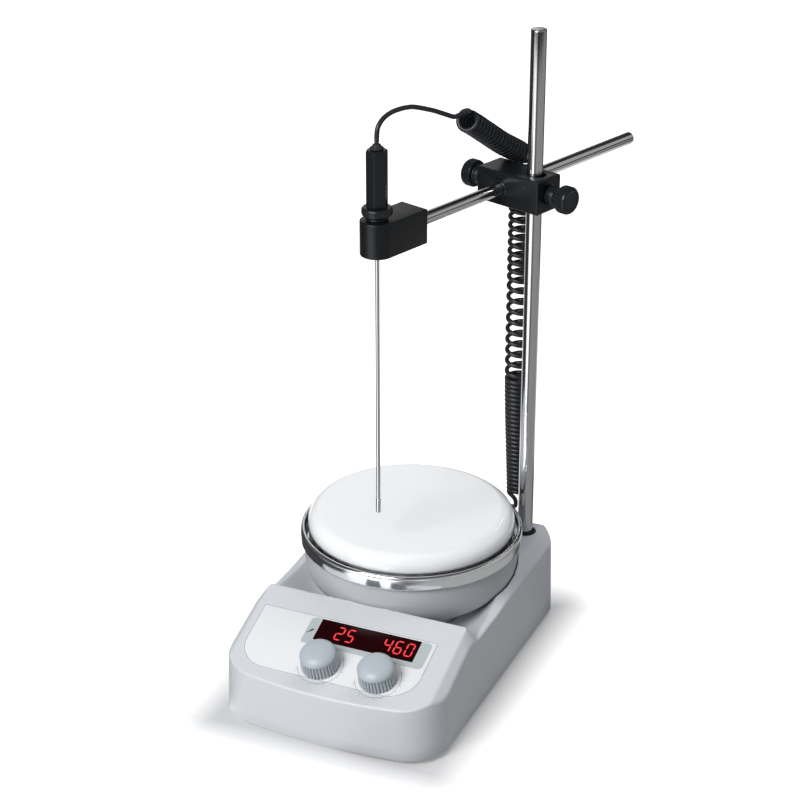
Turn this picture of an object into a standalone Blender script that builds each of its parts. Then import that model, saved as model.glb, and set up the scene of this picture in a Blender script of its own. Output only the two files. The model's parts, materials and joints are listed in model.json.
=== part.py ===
"""Heated magnetic stirrer: a wedge-fronted housing with a hot plate on a round bowl, two knobs and a
display on the sloping panel, and a support rod whose cross arm holds a temperature probe on a coiled lead.
Metres, +Z up, front towards -Y. The origin is the middle of the base plate's underside."""
import math

import bmesh
import bpy
import numpy as np
from mathutils import Vector

# Clearances
SEAT_GAP = 0.0003
OVERRUN = 0.002
MERGE_DISTANCE = 0.00001

# Housing
HOUSING_WIDTH = 0.150
HOUSING_DEPTH = 0.216
HOUSING_WALL = 0.003
HOUSING_DRAFT = 0.0015
EDGE_ROUNDING = 0.0016
FRONT_BOW = 0.003
FRONT_CORNER_RADIUS = 0.028
REAR_CORNER_RADIUS = 0.012
FRONT_EDGE_HEIGHT = 0.035
RIDGE_HEIGHT = 0.0598
RIDGE_SETBACK = 0.068
RIDGE_WIDTH = 0.002
MOUTH_LENGTH = 0.006
VALLEY_FLOOR_HEIGHT = 0.034
VALLEY_FALL_LENGTH = 0.010
VALLEY_FLAT_LENGTH = 0.024
VALLEY_SLOPE_WIDTH = 0.016
DECK_RISE_LENGTH = 0.044
DECK_HEIGHT = 0.060
SIDE_CREST_HEIGHT = 0.050
MOUTH_SHARES = (0.33, 0.67, 1.0)
FALL_SHARES = (0.5, 1.0)
RISE_SHARES = (0.0, 0.2, 0.4, 0.6, 0.8, 1.0)
BAND_WIDTH = 0.009
BAND_GROWTH_LENGTH = 0.055
BAND_LEAST_WIDTH = 0.0038
PANEL_BAND_WIDTH = 0.0068
PANEL_BAND_DROP = 0.0065

# Base plate, feet and screws
BASE_THICKNESS = 0.003
BASE_PAD_HEIGHT = 0.001
BASE_PAD_SIDE_ROOM = 0.030
BASE_PAD_END_ROOM = 0.038
BASE_PAD_CORNER_RADIUS = 0.010
FOOT_RADIUS = 0.0075
FOOT_HEIGHT = 0.003
FOOT_STEM_RADIUS = 0.0025
FOOT_BARB_RADIUS = 0.0036
FOOT_BARB_HEIGHT = 0.0015
FOOT_INSET_SIDE = 0.018
FOOT_REAR_INSET_SIDE = 0.036
FOOT_INSET_FRONT = 0.034
FOOT_INSET_REAR = 0.018
POST_RADIUS = 0.0045
POST_INSET_SIDE = 0.012
POST_INSET_FRONT = 0.050
POST_INSET_REAR = 0.030
POST_BORE = 0.0018
SCREW_RADIUS = 0.0015
SCREW_HEAD_RADIUS = 0.0032
SCREW_HEAD_HEIGHT = 0.0015
SCREW_LENGTH = 0.012

# Room for the plate's ring on the housing: past the ridge, at the rear and at each side
RING_RIDGE_OVERLAP = 0.0009
RING_REAR_ROOM = 0.0039
RING_SIDE_ROOM = 0.0025

# Bowl that carries the plate: how far each part of its wall stands inside the ring
BOWL_WALL = 0.003
BOWL_RIM_INSET = 0.0025
BOWL_RIM_HEIGHT = 0.0742
BOWL_SHOULDER_INSET = 0.006
BOWL_WAIST_INSET = 0.0105
BOWL_WAIST_HEIGHT = 0.048
BOWL_LOW_INSET = 0.0165
BOWL_LOW_HEIGHT = 0.034
BOWL_FOOT_WIDTH = 0.006
BOWL_LEDGE_INSET = 0.0145
BOWL_LEDGE_HEIGHT = 0.060
MOAT_WIDTH = 0.002
MOAT_FLOOR_HEIGHT = 0.029
WELL_INSET = 0.0255

# Chrome ring, shield, plate and heater
RING_WIDTH = 0.0032
RING_HEIGHT = 0.0098
RING_ROUNDING = 0.0013
RING_FLANGE_WIDTH = 0.007
RING_FLANGE_THICKNESS = 0.0017
SHIELD_THICKNESS = 0.001
PLATE_INSET = 0.005
PAN_WIDTH = 0.0132
PAN_THICKNESS = 0.0034
PAN_LIFT = 0.0028
PLATE_TOP_HEIGHT = 0.096
PLATE_SHOULDER = 0.008
PLATE_EDGE_ROUNDING = 0.0012
PLATE_THICKNESS = 0.005
PLATE_WALL = 0.003
HEATER_INSET = 0.0175
PILLAR_RADIUS = 0.0025
PILLAR_INSET = 0.0145
PILLAR_COUNT = 3

# Motor and magnet drive
BRACKET_THICKNESS = 0.002
BRACKET_BORE_RADIUS = 0.006
MOTOR_RADIUS = 0.024
MOTOR_HEIGHT = 0.032
MOTOR_CAP_ROUNDING = 0.002
MOTOR_SHAFT_RADIUS = 0.003
MOTOR_SHAFT_CLEARANCE = 0.0003
MOTOR_SHAFT_DEPTH = 0.015
YOKE_LENGTH = 0.064
YOKE_WIDTH = 0.020
YOKE_THICKNESS = 0.003
YOKE_LIFT = 0.004
MAGNET_RADIUS = 0.009
MAGNET_HEIGHT = 0.005
MAGNET_SPACING = 0.042

# Sloping panel: label, window, knobs, boards
LABEL_LEFT_INSET = 0.011
LABEL_RIGHT_INSET = 0.019
LABEL_BOTTOM = 0.009
LABEL_TOP = 0.057
LABEL_CORNER_RADIUS = 0.020
LABEL_THICKNESS = 0.0005
WINDOW_LEFT_INSET = 0.0525
WINDOW_RIGHT_INSET = 0.0295
WINDOW_CENTRE_S = 0.047
WINDOW_HEIGHT = 0.017
WINDOW_THICKNESS = 0.0015
WINDOW_LEDGE = 0.001
KNOB_RADIUS = 0.0122
KNOB_RIB_DEPTH = 0.0005
KNOB_SKIRT_HEIGHT = 0.0085
KNOB_CAP_RADIUS = 0.0114
KNOB_HEIGHT = 0.0145
KNOB_DOME = 0.0040
KNOB_DOME_ANGLES = (0, 35, 65)
KNOB_RIBS = 22
KNOB_S = 0.021
TEMPERATURE_KNOB_X = -0.009
SPEED_KNOB_X = 0.030
KNOB_SHAFT_RADIUS = 0.003
KNOB_SHAFT_CLEARANCE = 0.0003
POT_RADIUS = 0.008
POT_DEPTH = 0.008
POT_BUSH_RADIUS = 0.0043
POT_BUSH_CLEARANCE = 0.0003
POT_FLOOR = 0.002
DISPLAY_MARGIN = 0.002
BOARD_THICKNESS = 0.0016
BOARD_MARGIN = 0.008
BOARD_PILLAR_RADIUS = 0.0025

# Power board
POWER_BOARD_WIDTH = 0.086
POWER_BOARD_DEPTH = 0.070
POWER_BOARD_LIFT = 0.005
POWER_BOARD_CENTRE_X = -0.012
POWER_BOARD_CENTRE_Y = -0.020
TRANSFORMER_WIDTH = 0.032
TRANSFORMER_DEPTH = 0.028
TRANSFORMER_HEIGHT = 0.015
CAPACITOR_RADIUS = 0.006
CAPACITOR_HEIGHT = 0.012

# Power rocker on the left side
ROCKER_Y = -0.030
ROCKER_Z = 0.022
BEZEL_WIDTH = 0.015
BEZEL_HEIGHT = 0.021
BEZEL_FLANGE = 0.0018
BEZEL_FLANGE_THICKNESS = 0.0015
BEZEL_DEPTH = 0.012
BEZEL_WALL = 0.0012
ROCKER_CLEARANCE = 0.0006
ROCKER_PIVOT_DEPTH = 0.0022
ROCKER_RADIUS = 0.0052
ROCKER_TILT_DEG = 9.0
ROCKER_STEM_RADIUS = 0.0015

# Mains inlet and sensor socket at the rear
INLET_X = -0.034
INLET_Z = 0.0150
INLET_WIDTH = 0.027
INLET_HEIGHT = 0.0195
INLET_DEPTH = 0.020
INLET_WALL = 0.0018
INLET_FLANGE_WIDTH = 0.004
INLET_FLANGE_THICKNESS = 0.002
INLET_CORNER = 0.004
BLADE_WIDTH = 0.002
BLADE_HEIGHT = 0.004
BLADE_LENGTH = 0.014
BLADE_SPACING = 0.007
EARTH_BLADE_LIFT = 0.004
SOCKET_X = 0.020
SOCKET_Z = 0.0175
SOCKET_RADIUS = 0.0085
SOCKET_FLANGE_RADIUS = 0.0105
SOCKET_FLANGE_THICKNESS = 0.002
SOCKET_DEPTH = 0.014
SOCKET_BORE_RADIUS = 0.0062
SOCKET_FLOOR = 0.003

# Support rod and its bush
ROD_FROM_SIDE = 0.0186
ROD_FROM_REAR = 0.0146
ROD_RADIUS = 0.005
ROD_TOP = 0.4056
ROD_CHAMFER = 0.001
ROD_CLEARANCE = 0.0003
BUSH_RADIUS = 0.0072
BUSH_FLANGE_RADIUS = 0.0082
BUSH_FLANGE_THICKNESS = 0.001
BUSH_FLOOR = 0.008
STAND_TURN_DEG = -18.4

# Boss head on the rod and its two clamp screws
BOSS_HEIGHT_Z = 0.302
BOSS_HEIGHT = 0.022
BOSS_LEFT = 0.037
BOSS_RIGHT = 0.012
BOSS_FRONT = 0.012
BOSS_BACK = 0.011
BOSS_ROUNDING = 0.0015
BOSS_HOLE_PLAY = 0.0024
ARM_OFFSET = 0.0184
ARM_RADIUS = 0.004
ARM_CLEARANCE = 0.0003
ARM_FRONT = 0.103
ARM_BACK = 0.1234
THUMB_RADIUS = 0.0089
THUMB_THICKNESS = 0.0076
THUMB_RIB_DEPTH = 0.0004
THUMB_RIBS = 12
THUMB_NECK_RADIUS = 0.006
THUMB_NECK_LENGTH = 0.0096
THUMB_SHANK_RADIUS = 0.003
THUMB_SHANK_CLEARANCE = 0.0003

# Probe holder on the arm and the temperature probe
PROBE_U = -0.125
HOLDER_RADIUS = 0.0105
HOLDER_HEIGHT = 0.022
HOLDER_REACH = 0.0335
HOLDER_ROUNDING = 0.0012
HOLDER_BORE_DEPTH = 0.0115
PROBE_NECK_RADIUS = 0.0047
PROBE_NECK_LENGTH = 0.0135
PROBE_NECK_CLEARANCE = 0.0003
PROBE_COLLAR_RADIUS = 0.0092
PROBE_COLLAR_HEIGHT = 0.0048
PROBE_WASHER_RADIUS = 0.0068
PROBE_COLLAR_LIFT = 0.0032
PROBE_COLLAR_RIBS = 12
PROBE_COLLAR_RIB_DEPTH = 0.0004
PROBE_HANDLE_WIDTH = 0.0118
PROBE_HANDLE_HEIGHT = 0.0350
PROBE_GLAND_RADIUS = 0.0042
PROBE_GLAND_HEIGHT = 0.0035
PROBE_STEM_RADIUS = 0.0013
PROBE_TIP_RADIUS = 0.0016
PROBE_TIP_LENGTH = 0.0092
PROBE_BOTTOM = 0.1173
PROBE_STEM_CLEARANCE = 0.0005

# Coiled sensor lead
CABLE_RADIUS = 0.0015
CURL_RADIUS = 0.0049
HANG_OPEN_TURNS = 25
HANG_TIGHT_TURNS = 23
HANG_OPEN_SHARE = 0.655
UPPER_TURNS = 16
CURL_POINTS = 8
CURL_RAMP = 0.005
CABLE_POINT_SPACING = 0.0075
ROUTE_STEPS = 24
PLUG_RADIUS = 0.0070
PLUG_LENGTH = 0.020
PLUG_NOSE_RADIUS = 0.0058
PLUG_NOSE_LENGTH = 0.008
PLUG_SLEEVE_RADIUS = 0.0026
PLUG_SLEEVE_LENGTH = 0.009

# Routes of the lead, chosen by hand: those on the stand run in its frame, X to the right, Y along the arm
RISE_ROUTE = [(-0.0184, -0.1250, 0.3608), (-0.0184, -0.1250, 0.3640), (-0.0186, -0.1236, 0.3695),
              (-0.0189, -0.1188, 0.3734), (-0.0193, -0.1120, 0.3752), (-0.0197, -0.1054, 0.3754)]
FALL_ROUTE = [(-0.0197, -0.1051, 0.3754), (-0.0202, -0.0979, 0.3748), (-0.0207, -0.0903, 0.3733),
              (-0.0219, -0.0720, 0.3666), (-0.0225, -0.0630, 0.3626), (-0.0231, -0.0540, 0.3585),
              (-0.0237, -0.0450, 0.3544)]
UPPER_ROUTE = [(-0.0237, -0.0447, 0.3543), (-0.0250, -0.0360, 0.3503), (-0.0274, -0.0150, 0.3392),
               (-0.0290, 0.0010, 0.3298), (-0.0300, 0.0115, 0.3226), (-0.0305, 0.0181, 0.3163),
               (-0.0306, 0.0200, 0.3115), (-0.0306, 0.0200, 0.3080)]
HANG_ROUTE = [(-0.0306, 0.0200, 0.3077), (-0.0306, 0.0200, 0.2300), (-0.0306, 0.0200, 0.1500),
              (-0.0306, 0.0200, 0.0660)]
TAIL_ROUTE = [(0.0337, 0.1221, 0.0657), (0.0337, 0.1222, 0.0600), (0.0332, 0.1248, 0.0520),
              (0.0315, 0.1320, 0.0435), (0.0287, 0.1425, 0.0370), (0.0253, 0.1525, 0.0315),
              (0.0225, 0.1575, 0.0245), (0.0206, 0.1548, 0.0188), (0.0200, 0.1490, 0.0175),
              (0.0200, 0.1400, 0.0175)]

# Facets round a turned piece
LARGE_STEPS = 36
MEDIUM_STEPS = 18
SMALL_STEPS = 16
FINE_STEPS = 10

# Places that follow from the sizes above
HALF_WIDTH = HOUSING_WIDTH / 2
FRONT_Y = -HOUSING_DEPTH / 2
REAR_Y = HOUSING_DEPTH / 2
RIDGE_Y = FRONT_Y + RIDGE_SETBACK
RIDGE_BACK_Y = RIDGE_Y + RIDGE_WIDTH
MOUTH_Y = RIDGE_BACK_Y + MOUTH_LENGTH
VALLEY_END_Y = RIDGE_BACK_Y + VALLEY_FALL_LENGTH + VALLEY_FLAT_LENGTH
WINDOW_WIDTH = HOUSING_WIDTH - WINDOW_LEFT_INSET - WINDOW_RIGHT_INSET
WINDOW_CENTRE_X = (WINDOW_LEFT_INSET - WINDOW_RIGHT_INSET) / 2
HOUSING_TOP = max(RIDGE_HEIGHT, DECK_HEIGHT)
PANEL_ANGLE = math.atan2(RIDGE_HEIGHT - FRONT_EDGE_HEIGHT, RIDGE_SETBACK)
RING_RADIUS = min(HALF_WIDTH - RING_SIDE_ROOM,
                  (HOUSING_DEPTH - RIDGE_SETBACK + RING_RIDGE_OVERLAP - RING_REAR_ROOM) / 2)
BOWL_Y = RIDGE_Y - RING_RIDGE_OVERLAP + RING_RADIUS
BOWL_RIM_RADIUS = RING_RADIUS - BOWL_RIM_INSET
BOWL_SHOULDER_RADIUS = RING_RADIUS - BOWL_SHOULDER_INSET
BOWL_WAIST_RADIUS = RING_RADIUS - BOWL_WAIST_INSET
BOWL_LOW_RADIUS = RING_RADIUS - BOWL_LOW_INSET
BOWL_FOOT_INNER_RADIUS = BOWL_LOW_RADIUS - BOWL_FOOT_WIDTH
BOWL_LEDGE_RADIUS = RING_RADIUS - BOWL_LEDGE_INSET
WELL_RADIUS = RING_RADIUS - WELL_INSET
RING_INNER_RADIUS = RING_RADIUS - RING_WIDTH
RING_FLANGE_RADIUS = RING_RADIUS - RING_FLANGE_WIDTH
PLATE_RADIUS = RING_RADIUS - PLATE_INSET
PAN_RADIUS = PLATE_RADIUS - SEAT_GAP
PAN_INNER_RADIUS = PAN_RADIUS - PAN_WIDTH
HEATER_RADIUS = RING_RADIUS - HEATER_INSET
PILLAR_CIRCLE_RADIUS = RING_RADIUS - PILLAR_INSET
ROD_X = HALF_WIDTH - ROD_FROM_SIDE
ROD_Y = REAR_Y - ROD_FROM_REAR
RING_BOTTOM = BOWL_RIM_HEIGHT + SEAT_GAP
SHIELD_BOTTOM = RING_BOTTOM + RING_FLANGE_THICKNESS + SEAT_GAP
SHIELD_TOP = SHIELD_BOTTOM + SHIELD_THICKNESS
PAN_BOTTOM = SHIELD_TOP + PAN_LIFT
PAN_TOP = PAN_BOTTOM + PAN_THICKNESS
PLATE_BOTTOM = PAN_TOP + SEAT_GAP
HEATER_TOP = PLATE_TOP_HEIGHT - PLATE_THICKNESS - SEAT_GAP
BRACKET_BOTTOM = BOWL_LEDGE_HEIGHT + SEAT_GAP
BRACKET_TOP = BRACKET_BOTTOM + BRACKET_THICKNESS
MOTOR_TOP = BRACKET_BOTTOM - SEAT_GAP
YOKE_BOTTOM = BRACKET_TOP + YOKE_LIFT
BOSS_TOP = BOSS_HEIGHT_Z + BOSS_HEIGHT / 2
BOSS_BOTTOM = BOSS_HEIGHT_Z - BOSS_HEIGHT / 2
HOLDER_TOP = BOSS_HEIGHT_Z + HOLDER_HEIGHT / 2
HOLDER_BOTTOM = BOSS_HEIGHT_Z - HOLDER_HEIGHT / 2
COLLAR_BOTTOM = HOLDER_TOP + PROBE_COLLAR_LIFT
COLLAR_TOP = COLLAR_BOTTOM + PROBE_COLLAR_HEIGHT
HANDLE_BOTTOM = COLLAR_TOP + SEAT_GAP
HANDLE_TOP = HANDLE_BOTTOM + PROBE_HANDLE_HEIGHT
GLAND_TOP = HANDLE_TOP + PROBE_GLAND_HEIGHT

AXIS_TURNS = {
    "x": (0.0, math.radians(90), 0.0),
    "y": (math.radians(-90), 0.0, 0.0),
    "z": (0.0, 0.0, 0.0),
}

# Colour, roughness and metallic value of each material
LOOKS = {
    "housing_grey": ((0.60, 0.62, 0.64), 0.42, 0.0),
    "label_white": ((0.83, 0.84, 0.84), 0.35, 0.0),
    "window_black": ((0.015, 0.008, 0.010), 0.12, 0.0),
    "knob_grey": ((0.42, 0.48, 0.53), 0.38, 0.0),
    "ceramic_white": ((0.86, 0.86, 0.84), 0.12, 0.0),
    "chrome": ((0.82, 0.82, 0.83), 0.08, 1.0),
    "steel": ((0.60, 0.60, 0.61), 0.28, 1.0),
    "zinc_plate": ((0.55, 0.56, 0.58), 0.40, 1.0),
    "mineral_wool": ((0.70, 0.66, 0.55), 0.95, 0.0),
    "motor_grey": ((0.22, 0.23, 0.24), 0.45, 0.8),
    "magnet_grey": ((0.30, 0.30, 0.31), 0.35, 0.9),
    "black_satin": ((0.025, 0.025, 0.027), 0.40, 0.0),
    "black_rubber": ((0.018, 0.018, 0.018), 0.75, 0.0),
    "board_green": ((0.03, 0.22, 0.10), 0.45, 0.0),
    "cable_black": ((0.020, 0.020, 0.021), 0.55, 0.0),
}


def clear_scene():
    for item in list(bpy.data.objects):
        bpy.data.objects.remove(item)


def new_collection(name):
    collection = bpy.data.collections.new(name)
    bpy.context.scene.collection.children.link(collection)
    return collection


clear_scene()
PARTS = new_collection("heated_magnetic_stirrer")
CUTTERS = new_collection("cutters")


def material(look):
    found = bpy.data.materials.get(look)
    if found:
        return found
    colour, roughness, metallic = LOOKS[look]
    made = bpy.data.materials.new(look)
    made.use_nodes = True
    shader = made.node_tree.nodes["Principled BSDF"]
    shader.inputs["Base Color"].default_value = (*colour, 1.0)
    shader.inputs["Roughness"].default_value = roughness
    shader.inputs["Metallic"].default_value = metallic
    return made


def frame_empty(name, location, turn=(0.0, 0.0, 0.0), parent=None):
    empty = bpy.data.objects.new(name, None)
    empty.location = location
    empty.rotation_euler = turn
    empty.parent = parent
    PARTS.objects.link(empty)
    return empty


def add(name, data, look, location=(0.0, 0.0, 0.0), axis="z", parent=None):
    """A part with its material, or a cutter where no look is given."""
    item = bpy.data.objects.new(name, data)
    item.location = location
    item.rotation_euler = AXIS_TURNS[axis]
    item.parent = parent
    if look:
        data.materials.append(material(look))
        PARTS.objects.link(item)
    else:
        item.hide_render = True
        item.display_type = "WIRE"
        CUTTERS.objects.link(item)
    return item


def finished_mesh(name, form, smooth_deg=35):
    mesh = bpy.data.meshes.new(name)
    form.to_mesh(mesh)
    form.free()
    mesh.shade_smooth()
    mesh.set_sharp_from_angle(angle=math.radians(smooth_deg))
    return mesh


def loft(name, look, sections, **place):
    """A closed solid through sections that have the same number of points."""
    form = bmesh.new()
    rings = [[form.verts.new(point) for point in section] for section in sections]
    count = len(rings[0])
    for lower, upper in zip(rings, rings[1:]):
        for index in range(count):
            following = (index + 1) % count
            form.faces.new((lower[index], lower[following], upper[following], upper[index]))
    form.faces.new(rings[0])
    form.faces.new(rings[-1])
    bmesh.ops.recalc_face_normals(form, faces=form.faces)
    return add(name, finished_mesh(name, form), look, **place)


def extruded(name, look, outline, bottom, top, **place):
    sections = [[(x, y, height) for x, y in outline] for height in (bottom, top)]
    return loft(name, look, sections, **place)


def box(name, look, size, centre, **place):
    """A box of a given size whose middle is at a point of its parent's frame."""
    form = bmesh.new()
    bmesh.ops.create_cube(form, size=1)
    bmesh.ops.scale(form, vec=size, verts=form.verts)
    return add(name, finished_mesh(name, form), look, location=centre, **place)


def cylinder(name, look, radius, bottom, top, centre=(0.0, 0.0, 0.0), steps=SMALL_STEPS, **place):
    """A cylinder whose ends lie at two heights along its axis from the centre."""
    form = bmesh.new()
    bmesh.ops.create_cone(form, cap_ends=True, segments=steps, radius1=radius, radius2=radius,
                          depth=top - bottom)
    bmesh.ops.translate(form, vec=(0.0, 0.0, (top + bottom) / 2), verts=form.verts)
    return add(name, finished_mesh(name, form), look, location=centre, **place)


def turned(name, look, profile, steps=MEDIUM_STEPS, **place):
    """A solid of revolution: the profile of radius and height runs down its outer side."""
    points = [(radius, 0.0, height) for radius, height in profile]
    edges = [(index, index + 1) for index in range(len(points) - 1)]
    if profile[0][0] > 0:
        edges.append((len(points) - 1, 0))
    mesh = bpy.data.meshes.new(name)
    mesh.from_pydata(points, edges, [])
    item = add(name, mesh, look, **place)
    screw = item.modifiers.new("Turn", "SCREW")
    screw.steps = steps
    screw.render_steps = steps
    screw.use_merge_vertices = True
    screw.merge_threshold = MERGE_DISTANCE
    return item


def ribbed(name, look, rings, ribs, **place):
    """A turned piece with ribs round it: rings of height, radius and rib depth from bottom to top."""
    sections = []
    for height, radius, depth in rings:
        section = []
        for index in range(2 * ribs):
            angle = math.pi * index / ribs
            reach = radius - depth * (index % 2)
            section.append((reach * math.cos(angle), reach * math.sin(angle), height))
        sections.append(section)
    return loft(name, look, sections, **place)


def tube(name, look, points, radius, bevel_resolution):
    curve = bpy.data.curves.new(name, "CURVE")
    curve.dimensions = "3D"
    curve.bevel_depth = radius
    curve.bevel_resolution = bevel_resolution
    curve.use_fill_caps = True
    spline = curve.splines.new("POLY")
    spline.points.add(len(points) - 1)
    for spline_point, point in zip(spline.points, points):
        spline_point.co = (*point, 1.0)
    return add(name, curve, look)


def boolean(item, other, operation):
    change = item.modifiers.new(other.name, "BOOLEAN")
    change.operation = operation
    change.object = other
    change.solver = "EXACT"


def cut(item, *cutters):
    for cutter in cutters:
        boolean(item, cutter, "DIFFERENCE")


def join(item, *others):
    for other in others:
        boolean(item, other, "UNION")


def rounded(item, width, segments=2, angle_deg=40):
    bevel = item.modifiers.new("Rounding", "BEVEL")
    bevel.width = width
    bevel.segments = segments
    bevel.limit_method = "ANGLE"
    bevel.angle_limit = math.radians(angle_deg)


def arc(centre_x, centre_y, radius, start_deg, end_deg, steps):
    """Points along an arc, both ends included."""
    angles = [math.radians(start_deg + (end_deg - start_deg) * index / steps) for index in range(steps + 1)]
    return [(centre_x + radius * math.cos(angle), centre_y + radius * math.sin(angle)) for angle in angles]


def rounded_rectangle(width, height, radius, steps=3):
    x = width / 2 - radius
    y = height / 2 - radius
    corners = ((x, y, 0), (-x, y, 90), (-x, -y, 180), (x, -y, 270))
    return [point for cx, cy, start in corners for point in arc(cx, cy, radius, start, start + 90, steps)]


def housing_outline(inset):
    """Plan of the housing, anticlockwise from the right end of its bowed front edge."""
    half = HALF_WIDTH - inset
    front = FRONT_Y + inset
    rear = REAR_Y - inset
    front_radius = FRONT_CORNER_RADIUS - inset
    rear_radius = REAR_CORNER_RADIUS - inset
    points = arc(half - front_radius, front + front_radius, front_radius, -84, 0, 6)
    points += arc(half - rear_radius, rear - rear_radius, rear_radius, 0, 90, 4)
    points += arc(rear_radius - half, rear - rear_radius, rear_radius, 90, 180, 4)
    points += arc(front_radius - half, front + front_radius, front_radius, 180, 264, 6)
    bow_shares = (-0.75, -0.4, 0.0, 0.4, 0.75)
    reach = half - front_radius
    points += [(reach * share, front - FRONT_BOW * (1 - share * share)) for share in bow_shares]
    return points


def smooth_step(share):
    share = min(max(share, 0.0), 1.0)
    return share * share * (3 - 2 * share)


def panel_height(y):
    return FRONT_EDGE_HEIGHT + math.tan(PANEL_ANGLE) * (y - FRONT_Y)


def crest_height(y):
    """Height at which the side wall ends and the band above it begins."""
    return min(SIDE_CREST_HEIGHT, panel_height(y) - PANEL_BAND_DROP)


def deck_height(y):
    """Height of the band's inner edge: the panel, the ridge, the valley's mouth and the rear deck."""
    if y <= RIDGE_Y:
        return panel_height(y)
    if y <= VALLEY_END_Y:
        fall = smooth_step((y - RIDGE_BACK_Y) / MOUTH_LENGTH)
        return RIDGE_HEIGHT + (SIDE_CREST_HEIGHT - RIDGE_HEIGHT) * fall
    rise = smooth_step((y - VALLEY_END_Y) / DECK_RISE_LENGTH)
    return SIDE_CREST_HEIGHT + (DECK_HEIGHT - SIDE_CREST_HEIGHT) * rise


def valley_height(y):
    """Height of the surface inside the band: it drops behind the ridge and rises to the rear deck."""
    if y <= VALLEY_END_Y:
        fall = smooth_step((y - RIDGE_BACK_Y) / VALLEY_FALL_LENGTH)
        return deck_height(y) if y <= RIDGE_Y else RIDGE_HEIGHT + (VALLEY_FLOOR_HEIGHT - RIDGE_HEIGHT) * fall
    rise = smooth_step((y - VALLEY_END_Y) / DECK_RISE_LENGTH)
    return VALLEY_FLOOR_HEIGHT + (DECK_HEIGHT - VALLEY_FLOOR_HEIGHT) * rise


def band_width(y):
    """Width of the side band: it closes at the valley's mouth and opens again towards the rear."""
    if y <= MOUTH_Y:
        closing = smooth_step((y - RIDGE_BACK_Y) / MOUTH_LENGTH)
        return PANEL_BAND_WIDTH + (BAND_LEAST_WIDTH - PANEL_BAND_WIDTH) * closing
    share = min(1.0, (y - MOUTH_Y) / BAND_GROWTH_LENGTH)
    return BAND_LEAST_WIDTH + (BAND_WIDTH - BAND_LEAST_WIDTH) * share


def housing_stations():
    """Places along the depth where the side profile bends."""
    bend = FRONT_Y + (SIDE_CREST_HEIGHT + PANEL_BAND_DROP - FRONT_EDGE_HEIGHT) / math.tan(PANEL_ANGLE)
    stations = [bend, RIDGE_Y, RIDGE_BACK_Y]
    stations += [RIDGE_BACK_Y + MOUTH_LENGTH * share for share in MOUTH_SHARES]
    stations += [MOUTH_Y + (RIDGE_BACK_Y + VALLEY_FALL_LENGTH - MOUTH_Y) * share for share in FALL_SHARES]
    stations += [VALLEY_END_Y + DECK_RISE_LENGTH * share for share in RISE_SHARES]
    return stations


def housing_profile(name, inset, bottom):
    """The side profile as a solid from front to rear, with its top lowered by an inset."""
    front = FRONT_Y - FRONT_BOW - OVERRUN
    rear = REAR_Y + OVERRUN
    outer = HALF_WIDTH + OVERRUN
    sections = []
    for y in [front, *housing_stations(), rear]:
        crest = crest_height(y) - inset
        deck = deck_height(y) - inset
        inner = HALF_WIDTH - band_width(y)
        skirt = crest - (deck - crest) / band_width(y) * OVERRUN
        right = [(outer, y, bottom), (outer, y, skirt), (inner, y, deck),
                 (inner - VALLEY_SLOPE_WIDTH, y, valley_height(y) - inset)]
        left = [(-x, y, z) for x, _, z in reversed(right)]
        sections.append(right + left)
    return loft(name, None, sections)


def moat_outline(offset):
    """Outer side of the moat: it follows the bowl at the moat's width, from above the deck to the floor."""
    reach = MOAT_WIDTH + offset
    return [(BOWL_RIM_RADIUS + reach, BOWL_RIM_HEIGHT), (BOWL_SHOULDER_RADIUS + reach, BOWL_LEDGE_HEIGHT),
            (BOWL_WAIST_RADIUS + reach, BOWL_WAIST_HEIGHT), (BOWL_LOW_RADIUS + reach, BOWL_LOW_HEIGHT),
            (BOWL_LOW_RADIUS + reach, MOAT_FLOOR_HEIGHT - offset)]


def build_housing():
    outline = housing_outline(0.0)
    top_outline = housing_outline(HOUSING_DRAFT)
    lower = [(x, y, 0.0) for x, y in outline]
    upper = [(x, y, HOUSING_TOP + OVERRUN) for x, y in top_outline]
    shell = loft("housing_shell", "housing_grey", [lower, upper])
    boolean(shell, housing_profile("side_profile", 0.0, -OVERRUN), "INTERSECT")
    rounded(shell, EDGE_ROUNDING, segments=1, angle_deg=30)
    # The rounded strips are slightly warped, so they are split into flat triangles before the cuts.
    shell.modifiers.new("Triangles", "TRIANGULATE")

    moat = turned("moat_cut", None,
                  [(0.0, BOWL_RIM_HEIGHT), *moat_outline(0.0), (WELL_RADIUS, MOAT_FLOOR_HEIGHT),
                   (WELL_RADIUS, -OVERRUN), (0.0, -OVERRUN)], steps=LARGE_STEPS, parent=BOWL)
    cut(shell, moat)

    inner = [(x, y, -OVERRUN) for x, y in housing_outline(HOUSING_WALL)]
    inner_top = [(x, y, HOUSING_TOP) for x, y in housing_outline(HOUSING_WALL + HOUSING_DRAFT)]
    cavity = loft("cavity_cut", None, [inner, inner_top])
    boolean(cavity, housing_profile("inner_profile", HOUSING_WALL, -OVERRUN - OVERRUN), "INTERSECT")
    well_wall = turned("moat_wall", None, [(0.0, BOWL_RIM_HEIGHT), *moat_outline(HOUSING_WALL),
                                           (0.0, MOAT_FLOOR_HEIGHT - HOUSING_WALL)],
                       steps=LARGE_STEPS, parent=BOWL)
    cut(cavity, well_wall)
    cut(shell, cavity)

    for index, (x, y) in enumerate(post_places()):
        post = cylinder(f"post_{index + 1}", None, POST_RADIUS, BASE_THICKNESS + SEAT_GAP,
                        post_top(y), centre=(x, y, 0.0))
        join(shell, post)
        bore = cylinder(f"post_bore_{index + 1}", None, POST_BORE, 0.0, SCREW_LENGTH + OVERRUN,
                        centre=(x, y, 0.0), steps=FINE_STEPS)
        cut(shell, bore)
    return shell


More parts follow.
